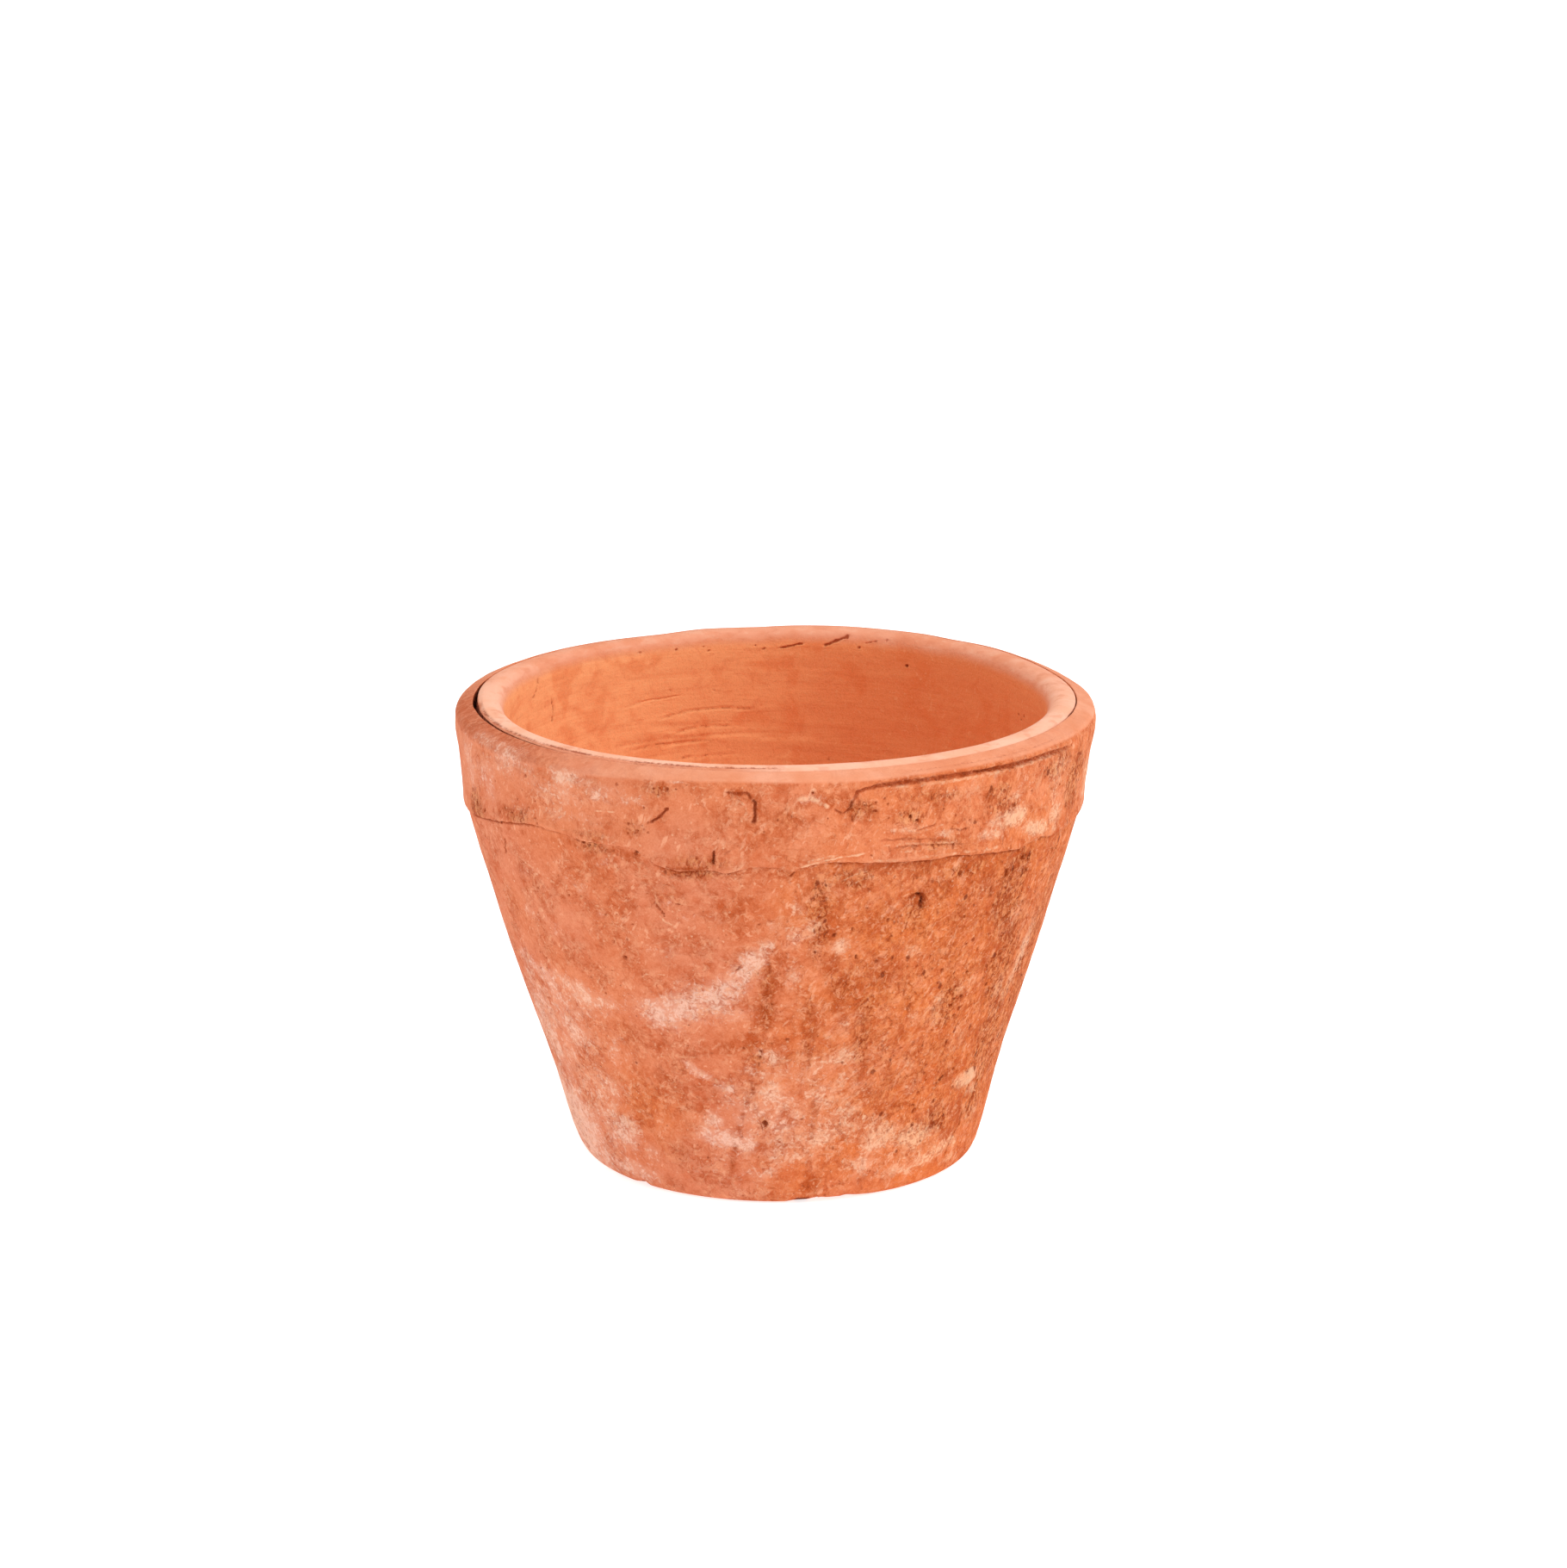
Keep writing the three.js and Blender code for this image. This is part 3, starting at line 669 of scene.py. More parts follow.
class Profile:
    """Named stretches of a closed outline, by length along it."""

    def __init__(self, parts):
        pts, self.start, self.end = [], {}, {}
        length = 0.0
        last = None
        for name, control, curved in parts:
            d = dense(control) if curved else np.linspace(control[0], control[-1], max(2, int(np.hypot(*(np.subtract(control[-1], control[0]))) / 0.05)))
            if last is not None:
                length += float(np.hypot(*(d[0] - last)))
            self.start[name] = length
            seg = np.hypot(*np.diff(d, axis=0).T)
            pts.append(np.column_stack([length + np.concatenate([[0], np.cumsum(seg)]), d]))
            length += float(seg.sum())
            self.end[name] = length
            last = d[-1]
        first = pts[0][0, 1:]
        length += float(np.hypot(*(first - last)))
        pts.append(np.array([[length, *first]]))
        table = np.vstack(pts)
        keep = np.concatenate([[True], np.diff(table[:, 0]) > 1e-7])
        self.t = table[keep]
        self.length = length
        s = np.arange(0, length, 0.1)
        r, z = np.interp(s, self.t[:, 0], self.t[:, 1]), np.interp(s, self.t[:, 0], self.t[:, 2])
        dr = (np.roll(r, -3) - np.roll(r, 3)) / 0.6
        dz = (np.roll(z, -3) - np.roll(z, 3)) / 0.6
        n = np.hypot(dr, dz) + 1e-9
        self.ns, self.nr, self.nz = s, dz / n, -dr / n

    def at(self, s):
        s = np.asarray(s, float) % self.length
        return np.interp(s, self.t[:, 0], self.t[:, 1]), np.interp(s, self.t[:, 0], self.t[:, 2])

    def normal(self, s):
        s = np.asarray(s, float) % self.length
        nr, nz = np.interp(s, self.ns, self.nr), np.interp(s, self.ns, self.nz)
        n = np.hypot(nr, nz) + 1e-9
        return nr / n, nz / n

    def s_of(self, name, value, axis=1):
        """Length at which the named stretch passes this radius (axis 0) or height (axis 1)."""
        m = (self.t[:, 0] >= self.start[name]) & (self.t[:, 0] <= self.end[name])
        x, s = self.t[m, 1 + axis], self.t[m, 0]
        order = np.argsort(x)
        return float(np.interp(value, x[order], s[order]))


def spread(*zones):
    """Row lines from (first, last, step) zones that follow each other."""
    rows = [zones[0][0]]
    for a, b, step in zones:
        n = max(1, round((b - a) / step))
        rows += list(np.linspace(a, b, n + 1)[1:])
    return rows


wall_points = [(float(cone(z)), z) for z in (3.4, 6, 9, 12, 18, 26, 36, 48, 60, 72, 84, 96, 106, 112, 115, 117)]
body = Profile(
    [
        ("under", [(12.2, 0.0), (59.6, 0.0)], False),
        ("foot", [(60.0, 0.0), (61.2, 0.25), (62.3, 0.95), (63.0, 1.95), (63.45, 3.1)], True),
        ("wall", wall_points, True),
        ("neck", [(96.9, 118.2), (96.6, 120.5), (95.8, 126.0), (94.9, 132.5), (94.2, 140.0), (93.75, 145.0), (93.68, 145.9)], True),
        ("seam", [(93.66, 146.12), (93.5, 146.3), (93.25, 146.42)], True),
        ("lip", [(92.9, 146.52), (91.6, 146.85), (90.2, 147.0), (88.9, 146.95), (87.6, 146.55), (86.5, 145.85), (85.6, 144.85), (84.95, 143.5), (84.6, 141.9), (84.45, 140.0)], True),
        ("inner", [(84.4, 138.5), (84.5, 130.0), (84.4, 121.0), (83.9, 112.0), (82.6, 102.0), (79.7, 90.0), (75.6, 76.0), (71.2, 61.5), (66.6, 47.0), (62.0, 33.0), (59.0, 24.0), (57.6, 19.6)], True),
        ("corner", [(57.2, 18.2), (55.8, 15.2), (53.2, 12.9), (49.8, 11.8), (47.0, 11.5)], True),
        ("floor", [(46.0, 11.5), (13.0, 11.5)], False),
        ("drain", [(12.4, 11.4), (11.5, 10.8), (11.1, 9.8), (11.0, 8.0), (11.0, 3.0), (11.15, 1.2), (11.7, 0.2)], True),
    ]
)
S, E = body.start, body.end
z_wall = lambda z: body.s_of("wall", z)
z_in = lambda z: body.s_of("inner", z)

rows = spread(
    (0.0, E["under"], 6.0),
    (E["under"], S["wall"], 1.45),
    (S["wall"], E["wall"], 2.35),
    (E["wall"], E["neck"] - 7.0, 5.5),
    (E["neck"] - 7.0, E["neck"] - 1.2, 1.9),
    (E["neck"] - 1.2, S["lip"] + 0.8, 0.9),
    (S["lip"] + 0.8, E["lip"], 1.6),
    (E["lip"], z_in(100.0), 2.2),
    (z_in(100.0), E["corner"], 2.5),
    (E["corner"], E["floor"], 2.9),
    (E["floor"], body.length, 2.6),
)
grid = Grid(138, rows)
grid.ask(-100, 100, E["under"] - 1, E["wall"] + 1.0, 1)
grid.ask(-180, 179.9, E["under"] - 1, S["wall"] + 6, 1)
grid.ask(-180, 179.9, z_wall(104), E["wall"] + 1.0, 1)
grid.ask(-180, 179.9, E["neck"] - 3.0, z_in(128.0), 1)
grid.ask(-95, 95, E["under"], S["wall"] + 2.5, 2)
grid.ask(-100, 100, E["neck"] - 1.0, S["lip"] + 0.6, 2)
grid.ask(-112, -8, E["neck"] - 1.0, S["lip"] + 0.6, 3)
grid.ask(50, 98, E["neck"] - 1.0, S["lip"] + 0.6, 3)
# Small seeded pits: many on the right of the front, a few everywhere else.
rng = np.random.default_rng(11)
for k in range(190):
    if k < 100:
        a0, v0 = (rng.uniform(36, 74), rng.uniform(24, 114)) if k < 66 else (rng.uniform(8, 86), rng.uniform(8, 112))
        if k >= 66 and rng.random() > 0.35 + 0.65 * float(ramp(a0, 18, 45)) * float(ramp(v0, 10, 55)):
            continue
        sz, ink = rng.uniform(0.5, 0.85), rng.uniform(0.35, 0.75)
    elif k < 110:
        a0, v0 = rng.uniform(-84, 14), rng.uniform(6, 116)
        sz, ink = rng.uniform(0.32, 0.5), rng.uniform(0.15, 0.4)
    else:
        a0, v0 = rng.uniform(88, 274), rng.uniform(6, 110)
        sz, ink = rng.uniform(0.8, 1.4), rng.uniform(0.3, 0.8)
    v0 = min(v0, float(edge_low(a0)) - 2.5)
    WALL_PITS.append((float(wrap(a0)), v0, sz, sz * 0.7, ink, rng.uniform(0.8, 2.0)))
for pts, w, dp, ink in WALL_CUTS:
    for (a0, z0), (a1, z1) in zip(pts[:-1], pts[1:]):
        g = (w + 0.5) / 80 * 57.3
        grid.ask(min(a0, a1) - g, max(a0, a1) + g, z_wall(min(z0, z1)) - w - 0.5, z_wall(min(max(z0, z1), 117)) + w + 0.5, 3)
for a0, z0, sz, dp, ink, tall in WALL_PITS:
    g = (sz + 0.45) / float(cone(z0)) * 57.3
    grid.ask(a0 - g, a0 + g, z_wall(min(z0, 117)) - sz * tall - 0.3, z_wall(min(z0, 117)) + sz * tall + 0.3, 3 if (0.48 < sz < 0.9 or ink > 0.7) and abs(a0) < 88 else 2)
for pts, w, hgt, amt in WALL_RIDGES:
    for (a0, z0), (a1, z1) in zip(pts[:-1], pts[1:]):
        g = (w + 0.4) / 80 * 57.3
        grid.ask(min(a0, a1) - g, max(a0, a1) + g, z_wall(min(z0, z1)) - w - 0.3, z_wall(min(max(z0, z1), 117)) + w + 0.3, 3 if hgt > 0.13 else 2)
grid.ask(-84, 0, S["lip"] + 0.1, S["lip"] + 1.9, 3)
for pts, w, dp, ink in INNER_CUTS:
    for (a0, z0), (a1, z1) in zip(pts[:-1], pts[1:]):
        a1 = a0 + float(wrap(a1 - a0))
        g = (w + 0.5) / 84 * 57.3
        if min(z0, z1) > 140:
            s0, s1 = body.s_of("lip", max(z0, z1)), body.s_of("lip", min(z0, z1))
        else:
            s0, s1 = z_in(max(z0, z1)), z_in(min(z0, z1))
        grid.ask(min(a0, a1) - g, max(a0, a1) + g, s0 - w - 0.5, s1 + w + 0.5, 3 if z0 > 125 else 2)
for a0, z0, sz, dp, ink, tall in INNER_PITS:
    g = (sz + 0.45) / 84 * 57.3
    s0 = body.s_of("lip", z0) if z0 > 140 else z_in(z0)
    grid.ask(a0 - g, a0 + g, s0 - sz - 0.5, s0 + sz + 0.5, 3 if z0 > 125 else 2)
grid.build()

a, s = grid.a, grid.s
rad = np.radians(a)
r0, z0 = body.at(s)
nr, nz = body.normal(s)


def within(lo, hi):
    return (s >= lo) & (s <= hi)


on_wall = within(E["under"], E["wall"] + 0.6)
on_neck = within(E["wall"] + 0.6, E["neck"])
on_lip = within(E["neck"], E["lip"])
on_inner = within(E["lip"], E["corner"])

# The rows near the band's lower edge follow it.
shift = (edge_low(a) - NOMINAL_EDGE) * np.where(z0 < NOMINAL_EDGE, ramp(z0, 100, NOMINAL_EDGE), 1 - ramp(z0, NOMINAL_EDGE, 132.5))
outer = within(E["under"], E["neck"])
z1 = z0 + np.where(outer, shift, 0.0)
r1 = np.where(outer & (z0 > 60), body_out(z1, a), r0)
# The open seam: the neck draws back from the band.
draw = crack(a) * 0.5
near_seam = np.where(outer, ramp(z0, 139.5, 145.0), 0.0) + np.where(within(E["neck"], S["lip"] + 1.8), 1 - ramp(s, S["lip"], S["lip"] + 1.8), 0.0)
r1 = r1 - draw * np.clip(near_seam, 0, 1)
sag = np.where(within(E["neck"] - 0.5, S["lip"] + 2.2), np.exp(-(((s - S["seam"]) / 1.0) ** 2)), 0) * np.clip(crack(a) - 0.1, 0, 1) * 0.35
z1 = z1 - sag

base = np.stack([r1 * np.sin(rad), -r1 * np.cos(rad), z1], 1)
d = np.zeros(len(a))
dirt_and_shade = np.zeros(len(a))

# Hand-thrown unevenness.
under_edge = 1 - ramp(z1, edge_low(a) - 3.5, edge_low(a) - 0.6)
lump = 0.22 * fbm(base, 30, 2, 3) + 0.13 * fbm(base, 9, 2, 5, (1, 1, 1.6)) + 0.05 * fbm(base, 3.6, 2, 9)
d += np.where(on_wall, lump * under_edge * ramp(z1, 0.5, 5), 0)
rough_side = ramp(a, -12, 40) * (1 - ramp(a, 78, 120))
d += np.where(on_wall, 0.07 * rough_side * fbm(base, 2.8, 2, 21) * under_edge, 0)
# Throwing rings inside, which rise a little as they go round.
pitch = z1 + a / 360 * 5.5
rings = 0.34 * np.sin(pitch / 5.5 * 2 * math.pi + 1.5 * fbm(base, 40, 2, 31)) + 0.16 * np.sin(pitch / 2.3 * 2 * math.pi + 2.0 * fbm(base, 26, 2, 33))
ring_field = 0.55 + 0.45 * fbm(base, 22, 2, 35, (1, 1, 2.2))
inside = np.where(on_inner, 1.0, 0.0) * (1 - ramp(z1, 134, 139)) * ramp(s, E["lip"], E["lip"] + 3)
d += inside * rings * ring_field * 0.16
ledges = fbm(base, 17, 3, 41, (0.55, 0.55, 5.5))
ledge_here = ramp(-np.abs(wrap(a - 190)), -52, -20) * (1 - ramp(z1, 112, 128))
d += inside * (0.26 * ramp(ledges, 0.05, 0.13) - 0.13) * ledge_here
d += np.where(on_inner | on_lip, 0.12 * fbm(base, 14, 2, 45) * ramp(s, S["lip"] + 2.5, S["lip"] + 6), 0)
on_floor = within(E["corner"] - 4, E["floor"])
spiral = r0 / 6.0 * 2 * math.pi + rad
d += np.where(on_floor, 0.4 * np.sin(spiral + 0.8 * fbm(base, 30, 2, 47)) * ramp(r0, 13, 20) * (1 - ramp(r0, 46, 54)), 0)
d += np.where(within(0, E["under"]), -0.16 * np.clip(fbm(base, 12, 3, 51), 0, 1), 0)  # only inwards: it stands flat

surf_wall = Surface(a, z1, cone, on_wall, 1.045, base)
surf_inner = Surface(a, z1, lambda z: 84.3, on_inner | (on_lip & (z1 < 147) & (r1 < 88)), 1.0, base)
for k, (pts, w, dp, ink) in enumerate(WALL_CUTS):
    groove(surf_wall, d, dirt_and_shade, pts, w, dp, ink, key=k)
for k, (a0, v0, sz, dp, ink, tall) in enumerate(WALL_PITS):
    pit(surf_wall, d, dirt_and_shade, a0, v0, sz, dp, ink, tall, tilt=(k * 37) % 40 - 20)
for k, (pts, w, ink) in enumerate(WALL_LINES):
    groove(surf_wall, d, dirt_and_shade, pts, w, 0.12, 0.0, key=k)
for k, (pts, w, dp, ink) in enumerate(INNER_CUTS):
    groove(surf_inner, d, dirt_and_shade, pts, w, dp, ink, key=k)
for k, (a0, v0, sz, dp, ink, tall) in enumerate(INNER_PITS):
    pit(surf_inner, d, dirt_and_shade, a0, v0, sz, dp, ink, tall, tilt=(k * 53) % 60 - 30)

lip_line = S["lip"] + np.interp(a, [-86, -70, -50, -25, 0, 12], [-0.2, 0.2, 0.7, 1.0, 1.15, 1.2]) + 0.16 * noise(base, 7, 311)
lip_gap = s - lip_line
lip_line_on = np.where(on_lip, ramp(a, -88, -78) * (1 - ramp(a, -4, 8)), 0.0) * (0.7 + 0.3 * np.clip(noise(base, 9, 313) * 2, -1, 1))
d -= 0.3 * lip_line_on * np.exp(-((lip_gap / 0.5) ** 2))
dirt_and_shade = np.maximum(dirt_and_shade, 0.72 * lip_line_on * np.exp(-((lip_gap / 0.6) ** 2)))
lip_outer = np.where(within(E["neck"], E["lip"]), ramp(-lip_gap, 0.0, 0.45), 0.0) * ramp(a, -96, -84) * (1 - ramp(a, -14, 6))
burrs_and_highlight = np.zeros(len(a))
for pts, w, hgt, amt in WALL_RIDGES:
    ridge(surf_wall, d, burrs_and_highlight, pts, w, hgt, amt)

# Chips out of the foot.
foot_chip = around([(-180, 0), (-60, 0), (-47, 0), (-43.5, 0.55), (-41.5, 0.9), (-39.8, 0.1), (-30, 0.0), (1.5, 0), (3.6, 0.3), (5.0, 0.5), (8.4, 0.6), (9.2, 0.7), (11.8, 1.2), (14.0, 0.75), (18.0, 0.7), (20.0, 0.95), (24.0, 0.45), (31, 0.1), (40, 0), (95, 0), (104, 0.9), (109, 0.2), (150, 0), (152, 0.7), (158, 0.5), (163, 0)])
chip = foot_chip(a) * np.where(within(E["under"] - 2.2, S["wall"] + 2.0), 1.0, 0.0) * (1 - ramp(z1, 0.6, 3.2)) * ramp(r0, 58.2, 60.5)
# Painted shadow in the two chips at the foot, on the foot and the underside beside them.
dirt_and_shade = np.maximum(dirt_and_shade, 1.0 * ramp(a, 4.2, 5.2) * (1 - ramp(a, 8.4, 9.2)) * np.where(within(E["under"] - 4.5, S["wall"]), 1 - ramp(z1, 1.0, 2.2), 0) * ramp(s, E["under"] - 2.4 - 0.8 * noise(base, 3, 317), E["under"] - 0.6))
dirt_and_shade = np.maximum(dirt_and_shade, 0.8 * ramp(a, -43.4, -42.4) * (1 - ramp(a, -41.2, -40.4)) * np.where(within(E["under"] - 2.5, S["wall"]), 1 - ramp(z1, 0.6, 2.0), 0))
foot_round = around([(-180, 0.2), (-110, 0.4), (-75, 0.5), (-55, 0.35), (-35, 0.0), (-10, 0.0), (20, 0.0), (50, 0.0), (80, 0.2), (130, 0.2)])
roundness = foot_round(a) * np.where(within(E["under"] - 12, S["wall"] + 9), 1.0, 0.0)
d -= roundness * 0.55 * np.where(z1 > 1.2, (1 - ramp(z1, 0.8, 8.0)), 1.0) * ramp(r0, 59.0, 62.0)

r2 = r1 + d * nr
z2 = z1 + d * nz + chip
z2 = np.where(within(0, E["under"]) | within(E["drain"] - 2, body.length), np.maximum(z2, 0.0), z2)
x3, y3, z3 = shape(r2 * np.sin(rad), -r2 * np.cos(rad), z2)
z3 = np.maximum(z3, 0.0)
co = np.stack([x3, y3, z3], 1)

# ---- where the clay is pale, brown, pink or smooth
bloom_and_highlight = np.zeros(len(a))
PATCHES = [
    # angle, height, half-width, half-height, amount, tilt
    (-60.2, 69.2, 10.7, 3.0, 0.8, -15), (-46.8, 67.7, 13.2, 3.5, 0.85, -20), (-69.4, 44.9, 9.9, 11.8, 0.9, 0), (-50.7, 50.8, 10.1, 6.5, 0.6, 0),
    (-39.8, 48.5, 7.6, 5.9, 0.42, 0), (-39.1, 65.2, 8.2, 3.2, 0.6, 0), (-76.1, 21.6, 14.2, 10.8, 0.9, 0), (-66.5, 9.7, 18.7, 8.6, 0.95, 0),
    (-42.7, 18.6, 5.4, 5.9, 0.85, 0), (-42.5, 5.8, 8.7, 3.5, 0.8, 0), (-44.2, 34.4, 7.4, 3.8, 0.6, 0), (-50.5, 23.9, 7.5, 3.8, 0.7, 0),
    (-35.3, 13.4, 4.6, 3.8, 0.45, 0), (-24.0, 64.8, 6.6, 4.6, 1.05, 0), (-18.6, 69.0, 6.4, 5.2, 1.05, 25), (-13.4, 72.4, 6.4, 5.0, 1.1, 20),
    (-9.0, 76.7, 4.8, 3.9, 0.85, 25), (-15.8, 71.5, 7.0, 6.6, 0.64, 20), (-18.5, 75.0, 4.0, 3.5, 0.5, 0), (-5.4, 82.0, 3.7, 3.8, 0.8, 0), (-8.6, 66.9, 6.5, 3.2, 0.55, 0), (-3.8, 86.8, 3.7, 3.2, 1.15, 20),
    (-1.1, 91.0, 2.4, 2.2, 0.8, 0), (3.9, 94.4, 3.5, 3.8, 0.75, 0), (7.6, 97.2, 3.2, 3.2, 0.85, 0), (13.0, 90.5, 1.9, 2.2, 1.1, 0),
    (4.3, 103.2, 2.4, 3.5, 0.5, 0), (8.0, 89.5, 2.2, 2.2, 0.5, 0), (0.4, 98.0, 2.4, 2.2, 0.45, 0), (-20.5, 105.2, 3.4, 2.7, 0.35, 0),
    (-13.3, 100.4, 6.6, 2.4, 0.3, 0), (-38.8, 106.2, 4.8, 2.4, 0.4, -30), (-54.1, 90.0, 5.5, 2.7, 0.4, 0), (-47.2, 85.9, 5.5, 3.8, 0.3, 0),
    (-33.9, 97.6, 3.2, 2.2, 0.3, 0), (-22.7, 87.2, 5.2, 2.2, 0.4, 0), (-11.6, 41.5, 3.8, 1.9, 0.7, -20), (-17.4, 45.7, 4.2, 1.6, 0.85, -25),
    (-19.6, 48.5, 2.3, 1.3, 0.9, -30), (-0.7, 40.2, 2.9, 3.0, 1.2, 0), (-0.3, 52.0, 3.2, 2.4, 0.75, 0), (-5.0, 48.2, 2.4, 2.2, 0.6, 0),
    (-2.6, 45.8, 2.1, 2.2, 0.7, 0), (3.2, 46.4, 2.4, 2.7, 0.6, 0), (-3.5, 54.4, 1.9, 1.9, 0.5, 0), (11.9, 40.2, 6.5, 3.5, 0.75, 0),
    (14.6, 51.7, 5.0, 4.0, 0.7, 0), (8.4, 35.6, 3.8, 2.7, 0.65, 0), (17.3, 44.5, 3.4, 3.2, 0.6, 0), (10.0, 48.5, 3.8, 2.7, 0.6, 0),
    (5.2, 38.9, 3.2, 2.4, 0.65, 0), (-12.7, 23.0, 5.5, 3.2, 1.0, 0), (-7.7, 21.0, 3.5, 2.7, 1.15, 0), (-15.5, 29.4, 3.9, 2.7, 0.75, 0),
    (2.1, 27.9, 6.7, 4.6, 0.85, 0), (-2.9, 33.4, 3.5, 3.2, 0.8, 0), (10.8, 23.2, 6.0, 3.8, 0.85, 0), (17.8, 26.0, 3.9, 3.8, 0.8, 0),
    (19.3, 31.9, 3.4, 3.2, 0.75, 0), (5.3, 31.8, 3.7, 2.7, 0.9, 0), (-17.8, 24.2, 2.8, 3.2, 0.8, 0), (-8.1, 29.5, 2.7, 2.2, 0.8, 0),
    (-5.1, 11.3, 8.0, 2.4, 0.55, 0), (-19.3, 10.5, 5.1, 2.2, 0.4, 0), (-11.6, 16.1, 4.4, 1.9, 0.5, 0), (-1.4, 18.8, 3.7, 2.2, 0.6, 0),
    (4.2, 18.1, 4.3, 2.2, 0.6, 0), (27.2, 21.4, 6.0, 5.4, 1.15, 0), (38.2, 18.7, 8.5, 3.2, 1.15, 0), (51.3, 11.6, 6.4, 2.4, 1.0, 0),
    (23.0, 13.0, 7.2, 3.0, 0.75, 0), (34.2, 8.1, 7.7, 2.4, 0.8, 0), (44.8, 9.2, 6.8, 2.2, 0.85, 0), (55.6, 5.6, 4.7, 1.6, 0.7, 0),
    (24.0, 29.6, 2.9, 2.2, 0.7, 0), (55.3, 33.8, 5.2, 2.7, 1.3, 0), (59.8, 28.3, 3.2, 1.9, 0.8, 0), (35.3, 37.6, 3.9, 2.7, 0.55, 0),
    (31.2, 47.2, 2.8, 3.0, 0.4, 0), (24.0, 52.0, 2.9, 3.2, 0.45, 0), (65.7, 74.1, 3.2, 8.1, 1.1, -17), (62.6, 64.4, 3.5, 6.5, 0.85, -17),
    (57.5, 63.0, 4.0, 4.8, 0.5, 0), (56.1, 89.7, 2.9, 5.4, 0.5, -17), (43.8, 71.1, 4.4, 7.5, 0.42, 0), (36.8, 64.4, 2.7, 6.5, 0.45, 0),
    (31.7, 62.3, 3.1, 3.8, 0.4, 0), (28.4, 85.9, 3.0, 1.6, 0.75, 0), (15.1, 62.6, 2.2, 3.8, 0.5, 0), (12.3, 58.1, 2.7, 2.7, 0.4, 0),
    (3.8, 81.5, 2.1, 6.5, 0.45, 0), (5.7, 70.1, 1.6, 5.4, 0.35, 0), (45.9, 51.0, 3.8, 5.4, 0.35, 0), (58.1, 53.9, 4.0, 5.4, 0.35, 0),
    (64.7, 18.7, 6.2, 4.3, 0.4, 0), (-31.7, 115.6, 4.4, 1.3, 0.35, 10), (-53.5, 105.2, 4.5, 2.7, 0.35, 0), (18.7, 65.7, 1.7, 3.2, 0.35, 0),
    (32.6, 53.0, 2.5, 3.8, 0.35, 0),
    (-58, 58, 18, 14, 0.6, 0), (-62, 34, 19, 18, 0.62, 0), (-50, 46, 10, 12, 0.4, 0), (-72, 14, 22, 15, 1.15, 0), (-30, 67, 14, 6, 0.28, 0), (5, 30, 21, 16, 0.62, 0), (8, 47, 13, 10, 0.46, 0),
    (-84, 40, 14, 40, 0.55, 0), (38, 12, 20, 7, 0.46, 0), (48, 24, 16, 10, 0.2, 0), (4, 100, 6, 14, 0.22, 0), (-10, 10, 20, 8, 0.25, 0), (-52, 12, 14, 10, 0.3, 0),
    # round the back
    (100, 40, 22, 26, 0.7, 0), (118, 78, 20, 14, 0.55, 20), (140, 30, 26, 18, 0.85, 0), (165, 60, 22, 16, 0.7, -25), (-172, 22, 24, 14, 0.8, 0),
    (-150, 70, 18, 20, 0.6, 0), (-128, 36, 22, 22, 0.8, 0), (-110, 82, 18, 14, 0.5, 30), (-100, 30, 16, 24, 0.75, 0), (152, 98, 16, 7, 0.45, 0), (-135, 100, 18, 8, 0.4, 0),
]
for p in PATCHES:
    blob(surf_wall, bloom_and_highlight, p[0], p[1], p[2], p[3], p[4], p[5], 1.0)
bloom_and_highlight = np.where(on_wall | within(0, E["under"]), bloom_and_highlight, 0)
bloom_and_highlight = 0.86 * bloom_and_highlight
bloom_and_highlight = np.where(within(0, E["under"]), 0.45, bloom_and_highlight)

